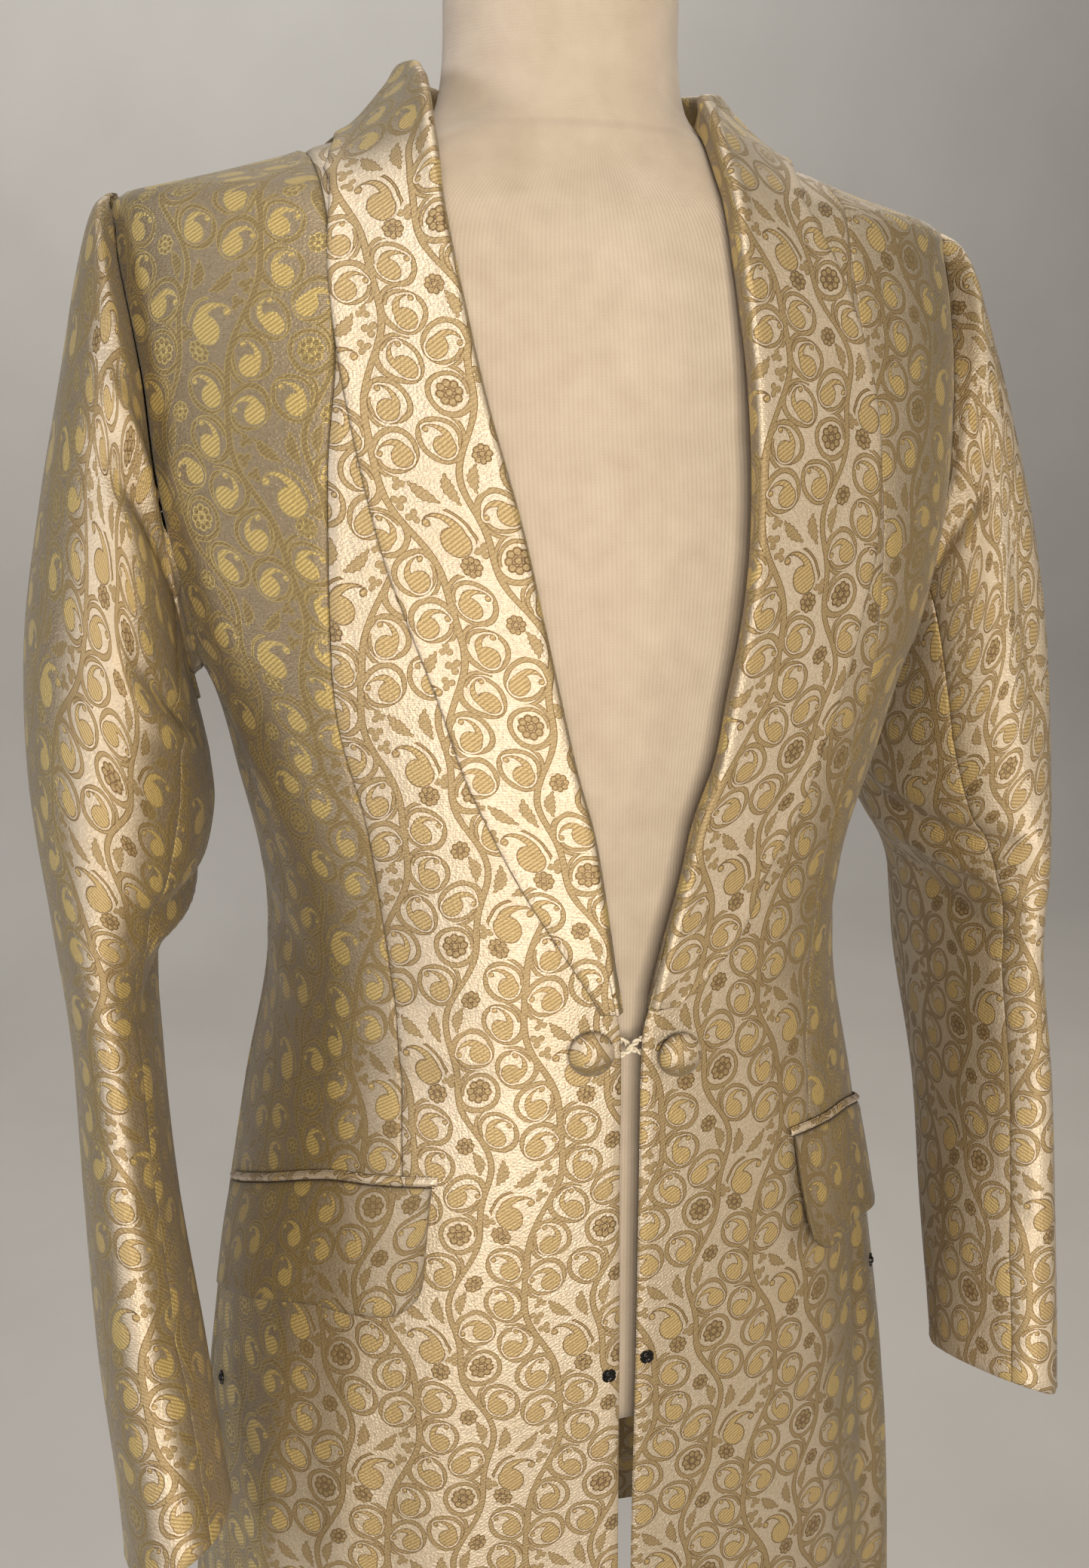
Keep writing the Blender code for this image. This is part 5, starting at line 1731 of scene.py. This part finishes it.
@dataclass
class ShawlCollar(SewnPart):
    """One half of the shawl collar, from the button to the centre back."""

    row_pitch: float = 0.005
    neck_rows: int = 46
    fall_steps: int = 6
    measured_column: int = 24
    edge_curl: float = 0.0010

    def stations(self) -> tuple[Array, ...]:
        """Return base angle and height, edge angle and height, roll height and lean."""
        surface = CoatSurface(self.side)
        low = LAPEL_EDGE[0].z
        height = NECKLINE_Z - low
        z = (low + height * edge_steps(int(height / self.row_pitch), height))[:-3]
        base = surface.sided(FRONT_EDGE, z)
        climb = read_rows(RIGHT_CLIMB if self.side < 0 else LEFT_CLIMB, z)
        roll = read_rows(LAPEL_ROLL, z)
        on_lapel = z <= SHOULDER_TIP_Z
        lapel = surface.sided(LAPEL_EDGE, np.minimum(z, SHOULDER_TIP_Z))
        first = math.degrees(float(surface.sided(FRONT_EDGE, np.array([NECKLINE_Z]))[0]))
        round_neck = edge_steps(self.neck_rows, 0.2)[2:]
        neck_angle = first + (COLLAR_NECK[-1].base_angle - first) * round_neck
        neck = read_rows(COLLAR_NECK, neck_angle)
        neck_height = neck.right_height if self.side < 0 else neck.left_height
        columns = (
            (base, np.radians(neck_angle)),
            (z, np.full(neck_angle.shape, NECKLINE_Z)),
            (np.where(on_lapel, lapel, np.radians(climb.edge_angle)), np.radians(neck.edge_angle)),
            (np.where(on_lapel, z, climb.edge_z), neck.edge_z),
            (np.where(on_lapel, roll.height, climb.height), neck_height),
            (np.where(on_lapel, roll.lean, climb.lean), neck.lean),
        )
        joined = [np.concatenate(pair) for pair in columns]
        return tuple(self.smooth(column) if k > 3 else column for k, column in enumerate(joined))

    def smooth(self, column: Array) -> Array:
        """Return a column evened out over its neighbours."""
        padded = np.concatenate([column[:1], column[:1], column, column[-1:], column[-1:]])
        return np.convolve(padded, np.array([0.1, 0.2, 0.4, 0.2, 0.1]), mode="valid")

    def middle_line(self) -> Array:
        """Return the strip's middle lines, one row for each station."""
        surface = CoatSurface(1)
        base_angle, base_z, edge_angle, edge_z, height, lean = self.stations()
        height = height[:, None]
        lean = lean[:, None]
        base = surface.bare(base_angle, base_z)
        up = surface.bare_normal(base_angle, base_z)
        along = unit(np.gradient(base, axis=0))
        over = unit(np.cross(up, along))
        toward = surface.bare(edge_angle, edge_z) - base
        over = np.where((over * toward).sum(-1, keepdims=True) < 0.0, -over, over)
        beside = -(SEAM_GAP + WALL / 2.0)
        radius = COLLAR_TURN_RADIUS
        line = [
            base + over * beside - up * (WALL * 0.5),
            base + over * (beside - lean * 0.45) + up * (height * 0.5),
            base + over * (beside - lean) + up * (height - radius),
            base + over * (beside - lean + radius) + up * height,
        ]
        clear = WALL / 2.0 + LAY_GAP
        for step in range(1, self.fall_steps + 1):
            t = step / self.fall_steps
            left = (1.0 - t) ** 1.35
            angle = base_angle + (edge_angle - base_angle) * t
            z = base_z + (edge_z - base_z) * t
            rise = clear + (height - clear) * left
            direction = unit(surface.bare_normal(angle, z) * t + up * (1.0 - t))
            line.append(surface.bare(angle, z) + direction * rise - over * (lean * left))
        return np.stack(line, axis=1)

    def pieces(self) -> list[ClothPiece]:
        """Return the collar half as one cut piece."""
        line = self.middle_line()
        count = line.shape[1]
        place = (count - 1) * edge_steps(40, 0.11)
        middle = blend_stations(line.swapaxes(0, 1), place).swapaxes(0, 1)
        normal = unit(np.cross(np.gradient(middle, axis=1), np.gradient(middle, axis=0)))
        surface = CoatSurface(self.side)
        angle = np.arctan2(middle[..., 0], -middle[..., 1])
        outward = surface.bare_normal(angle, np.minimum(middle[..., 2], 1.46))
        fall = (normal[:, -8:] * outward[:, -8:]).sum()
        if fall < 0.0:
            normal = -normal
        middle, normal = surface.flip(middle), surface.flip(normal)
        from_edge = (count - 1 - place) / self.fall_steps
        curl = self.edge_curl * np.exp(-((from_edge / 0.16) ** 2))[None, :, None]
        outer = middle + normal * (WALL / 2.0 + curl)
        middle[-1, :, 0] = self.side * SEAM_GAP / 2.0
        outer[-1, :, 0] = self.side * SEAM_GAP / 2.0
        across = length_along(middle, axis=1)
        along = length_along(middle[:, self.measured_column])
        maps = np.stack([across * self.side, spread(along, across.shape[1])], axis=-1)
        half = ClothPiece(
            node=f"collar_{self.word}",
            outer=outer,
            normal=normal,
            cloth_map=maps,
            laid_at=(0.0, 0.009 * self.side),
            held=Held.FOLDED,
            rests_on=self.names("front", "back"),
            seam_sink=0.0,
            painted_edge_shade=0.8,
            painted_satin_shade=COLLAR_PAINTED_SHADE.at(self.side),
        )
        return [half]


@dataclass
class FlapPocket(SewnPart):
    """A pocket with a narrow jet and a flap that hangs from it."""

    corner_lift: Sided = Sided(0.002, 0.006)

    def flap(self) -> ClothPiece:
        """Return the flap, rounded at its front corner."""
        surface = CoatSurface(self.side)
        first = math.radians(POCKET_LINE[0].angle)
        last = math.radians(POCKET_LINE[-1].angle)
        reach = surface.place(np.array([last, first]), np.array([0.92, 0.95]))
        length = float(np.linalg.norm(reach[0] - reach[1])) * 1.12
        inner = np.linspace(0.012, 1.0, 46)[:-1]
        share = np.concatenate([edge_steps(44, length)[:4], inner, [0.994, 0.997, 1.0]])
        angle = first + (last - first) * share
        row = read_rows(POCKET_LINE, np.degrees(angle))
        run = share * length
        inner = np.clip(FLAP_CORNER_RADIUS - run, 0.0, None)
        cut = FLAP_CORNER_RADIUS - np.sqrt(FLAP_CORNER_RADIUS**2 - inner**2)
        drop = edge_steps(24, 0.07)
        z = row.z[:, None] - (row.depth - cut)[:, None] * drop
        lift = self.corner_lift.at(self.side) * drop**2 * np.exp(-((run / 0.04) ** 2))[:, None]
        sag = 0.0010 * np.sin(run * 75.0 + self.side)[:, None] * drop**1.5
        bow = 0.0012 * np.sin(math.pi * drop) + 0.0022 * drop**3
        away = LAY_GAP + bow + lift + np.maximum(sag, -0.0004)
        grid = spread(angle, len(drop))
        outer = surface.place(grid, z, away + WALL)
        normal = surface.flip(surface.bare_normal(grid, z))
        down = -(row.depth - cut)[:, None] * drop - cut[:, None]
        maps = np.stack([spread(run * self.side, len(drop)), down], axis=-1)
        return ClothPiece(
            node=f"pocket_flap_{self.word}",
            outer=outer,
            normal=normal,
            cloth_map=maps,
            laid_at=(0.007, 0.0),
            rests_on=self.names("front"),
            seam_sink=0.0004,
            painted_edge_shade=0.95,
            painted_satin_shade=FLAP_PAINTED_SHADE,
        )

    def welt(self) -> ClothPiece:
        """Return the jet along the pocket mouth."""
        surface = CoatSurface(self.side)
        share = edge_steps(70, 0.15)
        first = math.radians(POCKET_LINE[0].angle - 1.0)
        angle = first + (math.radians(POCKET_LINE[-1].angle) - first) * share
        rise = edge_steps(8, WELT_WIDTH)
        low = read_rows(POCKET_LINE, np.degrees(angle)).z + 2.0 * SEAM_GAP
        z = low[:, None] + WELT_WIDTH * rise
        grid = spread(angle, len(rise))
        crown = 0.0010 * np.sin(math.pi * rise)
        outer = surface.place(grid, z, LAY_GAP + WALL + crown)
        normal = surface.flip(surface.bare_normal(grid, z))
        run = length_along(outer[:, 0])
        maps = np.stack(np.meshgrid(run * self.side, WELT_WIDTH * rise, indexing="ij"), axis=-1)
        return ClothPiece(
            node=f"pocket_welt_{self.word}",
            outer=outer,
            normal=normal,
            cloth_map=maps,
            laid_at=(0.004, 0.012),
            held=Held.STRETCHED,
            rests_on=self.names("front"),
            painted_edge_shade=0.15,
            painted_satin_shade=JET_PAINTED_SHADE,
            painted_shade_turn=JET_PAINTED_SHADE_TURN,
        )

    def pieces(self) -> list[ClothPiece]:
        """Return the pocket's cut pieces."""
        return [self.flap(), self.welt()]


class Fastening(NamedTuple):
    """A small round piece on the coat: its node, side, angle or distance, and height."""

    node: str
    side: int
    place: float
    z: float


BUTTONS = rows_of(
    Fastening,
    ("button_right", -1, 0.0230, 1.037),
    ("button_left", 1, 0.0235, 1.031),
)
STUDS = rows_of(
    Fastening,
    ("stud_front_right", -1, 1.9, 0.846),
    ("stud_front_left", 1, 2.3, 0.854),
    ("stud_side_right", -1, 82.0, 0.802),
    ("stud_side_left", 1, 60.0, 0.842),
)


def stand_on_coat(piece: bpy.types.Object, fastening: Fastening, angle: float, out: float) -> None:
    """Put a small piece modelled about the origin, facing +Z, on the coat's surface."""
    surface = CoatSurface(fastening.side)
    place = Vector(surface.place(np.array(angle), np.array(fastening.z), out))
    normal = Vector(surface.flip(surface.bare_normal(np.array(angle), np.array(fastening.z))))
    upward = Vector((0.0, 0.0, 1.0))
    across = upward.cross(normal).normalized()
    upward = normal.cross(across)
    columns = Matrix((across, upward, normal)).transposed()
    piece.data.transform(Matrix.Translation(place) @ columns.to_4x4())


def deselect_all() -> None:
    """Deselect every object."""
    for item in bpy.context.selected_objects:
        item.select_set(False)


@dataclass
class CoveredButtons:
    """Domed buttons covered in the coat's cloth, with the cloth gathered behind."""

    radius: float = 0.01175
    seat: float = 0.0005
    dome: float = 0.62
    back: float = 0.30
    shank: float = 0.0013
    gathers: float = 18.0
    gather_depth: float = 0.014
    # Height and fade of the painted shadow round the button's base
    rim_shadow_height: float = 0.0062
    rim_shadow_fade: float = 0.0032

    def one(self, fastening: Fastening, cloth: bpy.types.Material) -> bpy.types.Object:
        """Return one covered button on the coat."""
        deselect_all()
        bpy.ops.mesh.primitive_uv_sphere_add(segments=64, ring_count=40, radius=1.0)
        piece = bpy.context.object
        piece.name = f"{fastening.node}_covered"
        work = bmesh.new()
        work.from_mesh(piece.data)
        layer = work.loops.layers.uv.new("cloth")
        for point in work.verts:
            x, y, z = point.co
            reach = math.hypot(x, y)
            gather = 1.0
            if z < 0.0:
                gather += self.gather_depth * math.cos(self.gathers * math.atan2(y, x))
            profile = self.dome * abs(z) ** 1.15 if z > 0.0 else -self.back * abs(z) ** 0.8
            point.co = Vector((x * gather, y * gather, profile)) * self.radius
            if reach < 0.30 and z < 0.0:
                point.co.z = -self.back * self.radius - (0.30 - reach) * 0.0045
            point.co.z += self.back * self.radius + self.shank
        for polygon in work.faces:
            for corner in polygon.loops:
                place = corner.vert.co
                up = place.y * 1.2 + 0.012 + 0.09 * fastening.side
                corner[layer].uv = (place.x * 1.2 + 0.0127, up)
        work.to_mesh(piece.data)
        work.free()
        places = np.array([tuple(point.co) for point in piece.data.vertices])
        # Painted shadow darkening the button's base where it meets the coat, and painted satin shade:
        # lighter above, darker below
        tone = np.clip((self.seat + self.rim_shadow_height - places[:, 2]) / self.rim_shadow_fade, 0.0, 0.92)
        painted_satin_shade = np.clip(0.30 - places[:, 1] / self.radius * 0.75, 0.0, 0.85)
        mark_points(piece.data, {"painted_edge_shade": tone, "painted_satin_shade": painted_satin_shade})
        piece.data.shade_smooth()
        piece.data.materials.append(cloth)
        distance, z = np.array(fastening.place), np.array(fastening.z)
        angle = CoatSurface(fastening.side).angle_at(distance, z)
        stand_on_coat(piece, fastening, float(angle), self.seat)
        return piece

    def build(self, cloth: bpy.types.Material) -> None:
        """Make both buttons."""
        for fastening in BUTTONS:
            stand_for(self.one(fastening, cloth), fastening.node)


# The steps of a stud's face from its rim inwards: width as a share of its radius, and rise
STUD_STEPS = (
    (0.16, 0.0),
    (0.22, -0.0003),
    (0.10, 0.0002),
    (0.06, 0.0008),
    (0.10, 0.0003),
    (0.10, -0.0004),
)


@dataclass
class PressStuds:
    """Small sew-on press studs, each a dished disc with four slots and a raised middle."""

    radius: float = 0.004
    height: float = 0.0011
    seat: float = 0.0003

    def one(self) -> bpy.types.Object:
        """Return one stud about the origin, facing +Z."""
        deselect_all()
        half = (0.0, 0.0, self.height / 2.0)
        bpy.ops.mesh.primitive_cylinder_add(
            vertices=48, radius=self.radius, depth=self.height, location=half
        )
        piece = bpy.context.object
        bpy.ops.object.mode_set(mode="EDIT")
        bpy.ops.mesh.select_all(action="DESELECT")
        bpy.ops.object.mode_set(mode="OBJECT")
        for polygon in piece.data.polygons:
            polygon.select = polygon.normal.z > 0.9
        bpy.ops.object.mode_set(mode="EDIT")
        for share, depth in STUD_STEPS:
            bpy.ops.mesh.inset(thickness=self.radius * share, depth=depth)
        bpy.ops.object.mode_set(mode="OBJECT")
        for point in piece.data.vertices:
            angle = math.atan2(point.co.y, point.co.x)
            reach = math.hypot(point.co.x, point.co.y)
            notch = max(0.0, math.cos(4.0 * angle) - 0.80) / 0.20
            if reach > self.radius * 0.80:
                point.co.x *= 1.0 - 0.20 * notch
                point.co.y *= 1.0 - 0.20 * notch
        bevel = piece.modifiers.new("soft edges", "BEVEL")
        bevel.width = 0.00012
        bevel.segments = 2
        bevel.limit_method = "ANGLE"
        bpy.ops.object.modifier_apply(modifier=bevel.name)
        piece.data.shade_smooth()
        piece.data.set_sharp_from_angle(angle=math.radians(40.0))
        return piece

    def build(self, metal: bpy.types.Material) -> None:
        """Make the four studs."""
        first = self.one()
        first.data.materials.append(metal)
        pattern = first.data.copy()
        for index, fastening in enumerate(STUDS):
            piece = first
            if index > 0:
                piece = put_in_scene(fastening.node, pattern.copy())
            piece.name = f"{fastening.node}_metal"
            stand_on_coat(piece, fastening, math.radians(fastening.place), self.seat)
            stand_for(piece, fastening.node)


@dataclass
class LinkCord:
    """The twisted cord that links the fronts: one loop crossed between the edges."""

    reach: float = 0.0225
    half_height: float = 0.0046
    level: float = 1.034
    radius: float = 0.0017
    turns: float = 20.0
    ease: float = 0.3

    def path(self, count: int) -> Array:
        """Return the loop's middle line."""
        surface = CoatSurface(1)
        turn = np.linspace(0.0, 2.0 * math.pi, count, endpoint=False)
        x = self.reach * np.sin(turn)
        crossed = np.sin(2.0 * turn)
        spread = (1.0 + self.ease) * crossed / (np.abs(crossed) + self.ease)
        z = self.level + self.half_height * spread
        seat = WALL + SEAM_GAP + self.radius + 0.0008
        angle = surface.angle_at(np.abs(x), z)
        y = surface.place(angle, z, -seat)[..., 1]
        near_middle = np.exp(-((x / 0.0055) ** 2))
        y = y + (0.0012 - (self.radius + 0.0005) * np.cos(turn)) * near_middle
        return np.stack([x, y, z], axis=-1)

    def build(self, silk: bpy.types.Material) -> None:
        """Make the two plies as one mesh."""
        count = 420
        path = self.path(count)
        ahead = unit(np.roll(path, -1, axis=0) - np.roll(path, 1, axis=0))
        side = unit(np.cross(ahead, np.array([0.0, 1.0, 0.0])))
        third = np.cross(ahead, side)
        sides = 8
        points = []
        faces = []
        whole = 2.0 * math.pi * self.turns
        for ply in range(2):
            twist = (np.linspace(0.0, whole, count, endpoint=False) + math.pi * ply)[:, None]
            off = side * np.cos(twist) + third * np.sin(twist)
            middle = path + off * (self.radius * 0.5)
            start = ply * count * sides
            for step in range(sides):
                around = 2.0 * math.pi * step / sides
                off = side * math.cos(around) + third * math.sin(around)
                points.append(middle + off * (self.radius * 0.52))
            for step in range(sides):
                low = start + step * count
                high = start + (step + 1) % sides * count
                for k in range(count):
                    after = (k + 1) % count
                    faces.append((low + k, low + after, high + after, high + k))
        piece = mesh_piece("link_cord_plies", np.concatenate(points), faces)
        piece.data.materials.append(silk)
        stand_for(piece, "link_cord")


@dataclass
class DressForm:
    """The padded limbless form and its stand."""

    sides: int = 120
    neck_rings: int = 27
    seams: tuple[float, ...] = (38.0, 90.0, 142.0, 180.0)
    seam_depth: float = 0.0012
    seam_width: float = 0.0030

    def inset(self, angle: Array, z: Array) -> Array:
        """Return how far the form lies inside the coat's outer surface."""
        off_shoulder = 1.0 - np.exp(-(((np.abs(np.degrees(angle)) - 90.0) / 22.0) ** 2))
        seat = WALL + FORM_SEAT + 0.0024 * off_shoulder
        below = np.clip(SHOULDER_TIP_Z - z, 0.0, None)
        drop = np.minimum(below / 0.11, 1.0)
        near_tip = np.minimum(below / 0.05, 1.0)
        side_room = 0.010 * np.sin(angle) ** 4 * near_tip
        return seat + 0.0125 * drop**1.1 + side_room + 0.002 * np.minimum(near_tip * 4.0, 1.0)

    def loops(self) -> tuple[Array, Array]:
        """Return the form's rings from the bottom up, and the angle of each column."""
        surface = CoatSurface(1)
        turn = np.linspace(-math.pi, math.pi, self.sides, endpoint=False)
        torso = np.linspace(FORM_BOTTOM_Z, 1.38, 90)
        shoulders = np.linspace(1.385, 1.44, 12)
        heights = np.concatenate([torso, shoulders, np.linspace(1.444, 1.477, 14)])
        z, angle = np.meshgrid(heights, turn, indexing="ij")
        points = surface.bare(np.abs(angle), z)
        normal = surface.bare_normal(np.abs(angle), z)
        inset = self.inset(np.abs(angle), z)
        tuck = 0.012 * np.clip(1.0 - (z - FORM_BOTTOM_Z) / 0.012, 0.0, 1.0) ** 2
        moved = points - normal * (inset + tuck)[..., None]
        moved[..., 2] = np.where(z < SHOULDER_TIP_Z, z, moved[..., 2])
        moved[..., 0] = moved[..., 0] * np.where(angle < 0.0, -1.0, 1.0)
        neck_z = np.concatenate([[1.4825], np.linspace(1.486, FORM_TOP_Z, self.neck_rings - 1)])
        neck = read_rows(FORM_NECK, neck_z)
        ring = np.stack(
            [
                neck.half_width[:, None] * np.sin(turn),
                neck.middle_y[:, None] - neck.half_depth[:, None] * np.cos(turn),
                spread(neck_z, self.sides),
            ],
            axis=-1,
        )
        loops = np.concatenate([moved, ring])
        in_front = np.exp(-((np.degrees(turn) / 34.0) ** 4))[None, :, None]
        height = loops[..., 2:].mean(axis=1, keepdims=True)
        at_neck = np.exp(-(((height - 1.462) / 0.038) ** 2)) * in_front
        for _ in range(24):
            around = (np.roll(loops, 1, axis=1) + np.roll(loops, -1, axis=1)) / 2.0
            loops = loops + (around - loops) * in_front * 0.9
            along = (loops[:-2] + loops[2:]) / 2.0
            loops[1:-1] += (along - loops[1:-1]) * at_neck[1:-1] * 0.9
        return loops, turn

    def build(self, jersey: bpy.types.Material) -> None:
        """Make the cover with its seams."""
        loops, turn = self.loops()
        degrees = np.abs(np.degrees(turn))
        rows = len(loops)
        nearest = np.abs(degrees[:, None] - np.array(self.seams)).min(axis=1)
        reach = np.linalg.norm(loops[..., :2] - loops[..., :2].mean(axis=1, keepdims=True), axis=-1)
        edges = np.radians(nearest)[None, :] * reach
        torso_rows = rows - self.neck_rings
        edges = np.where(np.arange(rows)[:, None] > torso_rows - 2, 1.0, edges)
        sink = self.seam_depth * np.exp(-((edges / self.seam_width) ** 2))
        outward = loops - loops.mean(axis=1, keepdims=True)
        outward[..., 2] = 0.0
        loops = loops - unit(outward) * sink[..., None]
        count = self.sides
        faces = []
        for row in range(0, (rows - 1) * count, count):
            for step in range(count):
                after = (step + 1) % count
                faces.append((row + step, row + after, row + count + after, row + count + step))
        faces.append(tuple(reversed(range(count))))
        faces.append(tuple((rows - 1) * count + step for step in range(count)))
        across = np.repeat(turn[None, :] * 0.155, rows, axis=0)
        run = np.linalg.norm(np.diff(loops, axis=0), axis=-1).mean(axis=1)
        along = spread(np.concatenate([[0.0], np.cumsum(run)]), count)
        maps = np.stack([across, along], axis=-1).reshape(-1, 2)
        # Painted shadow in the cover's seam grooves
        tone = 0.5 * np.exp(-edges / 0.0016)
        marks = {"painted_edge_shade": tone.reshape(-1)}
        piece = mesh_piece("form_torso_cover", loops.reshape(-1, 3), faces, maps, marks)
        piece.data.set_sharp_from_angle(angle=math.radians(60.0))
        piece.data.materials.append(jersey)
        stand_for(piece, "form_torso")

    def dress_stand(self, frame: dict) -> None:
        """Give the cap, the pole and the base their finishes."""
        for node, finish in (
            ("form_neck_cap", CAP_BEECH),
            ("stand_pole", POLE_STEEL),
            ("stand_base", BASE_ENAMEL),
        ):
            item = frame["nodes"][node]
            material = finish.make()
            for slot in item.material_slots:
                slot.material = material
            LOG.info("%s: %s", node, finish.name)


class Lamp(NamedTuple):
    """A soft square light: its place, what it points at, its power and the length of its side."""

    name: str
    place: tuple[float, float, float]
    aim: tuple[float, float, float]
    watts: float
    size: float
    colour: str


LAMPS = rows_of(
    Lamp,
    ("key", (-0.30, -1.60, 1.50), (0.0, 0.0, 1.10), 28.5, 0.6, "#fff9f1"),
    ("fill", (1.9, -1.3, 1.5), (0.0, 0.0, 1.1), 10.0, 1.4, "#fff5ea"),
    ("window", (-2.2, -0.5, 1.7), (-0.2, 0.0, 1.1), 20.0, 0.6, "#e2eaff"),
    ("rear", (1.3, 1.9, 2.6), (0.0, 0.0, 1.1), 12.0, 1.5, "#fff6ea"),
    ("wall", (-0.1, 0.7, 3.9), (0.5, 3.0, 2.4), 86.0, 1.8, "#edeeee"),
)


@dataclass(frozen=True)
class Studio:
    """A pale floor and wall, soft lights and the camera at the photograph's angle."""

    target: tuple[float, float, float] = (-0.018, -0.050, 1.148)
    azimuth: float = -16.05
    elevation: float = 15.2
    roll: float = 0.49
    distance: float = 0.772
    lens: float = 32.28
    wall_y: float = 3.0

    def camera(self) -> None:
        """Set the camera."""
        azimuth = math.radians(self.azimuth)
        elevation = math.radians(self.elevation)
        roll = math.radians(self.roll)
        away = Vector(
            (
                math.sin(azimuth) * math.cos(elevation),
                -math.cos(azimuth) * math.cos(elevation),
                math.sin(elevation),
            )
        )
        right = (-away).cross(Vector((0.0, 0.0, 1.0))).normalized()
        upward = right.cross(-away)
        across = right * math.cos(roll) + upward * math.sin(roll)
        top = upward * math.cos(roll) - right * math.sin(roll)
        data = bpy.data.cameras.new("photo_camera")
        data.lens = self.lens
        data.sensor_width = 36.0
        data.clip_start = 0.05
        camera = put_in_scene("photo_camera", data)
        place = Vector(self.target) + away * self.distance
        turn = Matrix((across, top, away)).transposed()
        camera.matrix_world = Matrix.Translation(place) @ turn.to_4x4()
        bpy.context.scene.camera = camera

    def light(self, lamp: Lamp) -> None:
        """Add one soft square light."""
        data = bpy.data.lights.new(lamp.name, "AREA")
        data.energy = lamp.watts
        data.size = lamp.size
        data.color = linear_colour(lamp.colour)[:3]
        item = put_in_scene(lamp.name, data)
        toward = Vector(lamp.aim) - Vector(lamp.place)
        turn = toward.to_track_quat("-Z", "Y").to_matrix().to_4x4()
        item.matrix_world = Matrix.Translation(lamp.place) @ turn

    def backdrop(self) -> None:
        """Add the floor, curved up into a wall behind."""
        radius = 0.6
        profile = [(-5.0, 0.0), (self.wall_y - radius, 0.0)]
        for step in range(1, 13):
            turn = 0.5 * math.pi * step / 12
            y = self.wall_y - radius + radius * math.sin(turn)
            profile.append((y, radius - radius * math.cos(turn)))
        profile.append((self.wall_y, 4.5))
        points = [(x, y, z) for x in (-5.0, 5.0) for y, z in profile]
        count = len(profile)
        faces = [(k, count + k, count + k + 1, k + 1) for k in range(count - 1)]
        mesh = bpy.data.meshes.new("backdrop")
        mesh.from_pydata(points, [], faces)
        mesh.shade_smooth()
        paper = Finish("matt_paper", "#c3beb7", "#bdb8b1", 0.95, 0.0, (3.0,) * 3)
        mesh.materials.append(paper.make())
        put_in_scene("backdrop", mesh)

    def build(self) -> None:
        """Add everything that is not the object."""
        self.camera()
        self.backdrop()
        for lamp in LAMPS:
            self.light(lamp)
        scene = bpy.context.scene
        scene.view_settings.view_transform = "Standard"
        world = bpy.data.worlds.new("studio")
        scene.world = world
        world.use_nodes = True
        sky = world.node_tree.nodes["Background"]
        sky.inputs["Color"].default_value = linear_colour("#d9d6d0")
        sky.inputs["Strength"].default_value = 0.16


def main() -> None:
    """Dress the coat and its form, piece by piece."""
    logging.basicConfig(level=logging.INFO, format="%(name)s: %(message)s")
    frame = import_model()
    Studio().build()
    cloth = BrocadeCloth()
    face = cloth.make(ClothSide.FACE)
    back = cloth.make(ClothSide.BACK)
    for side in (-1, 1):
        for part in (CoatBody(side), Sleeve(side), ShawlCollar(side), FlapPocket(side)):
            for piece in part.pieces():
                piece.build(face, back)
    CoveredButtons().build(face)
    PressStuds().build(STUD_METAL.make())
    LinkCord().build(CORD_SILK.make())
    form = DressForm()
    form.build(JerseyCover().make())
    form.dress_stand(frame)


if __name__ == "__main__":
    main()
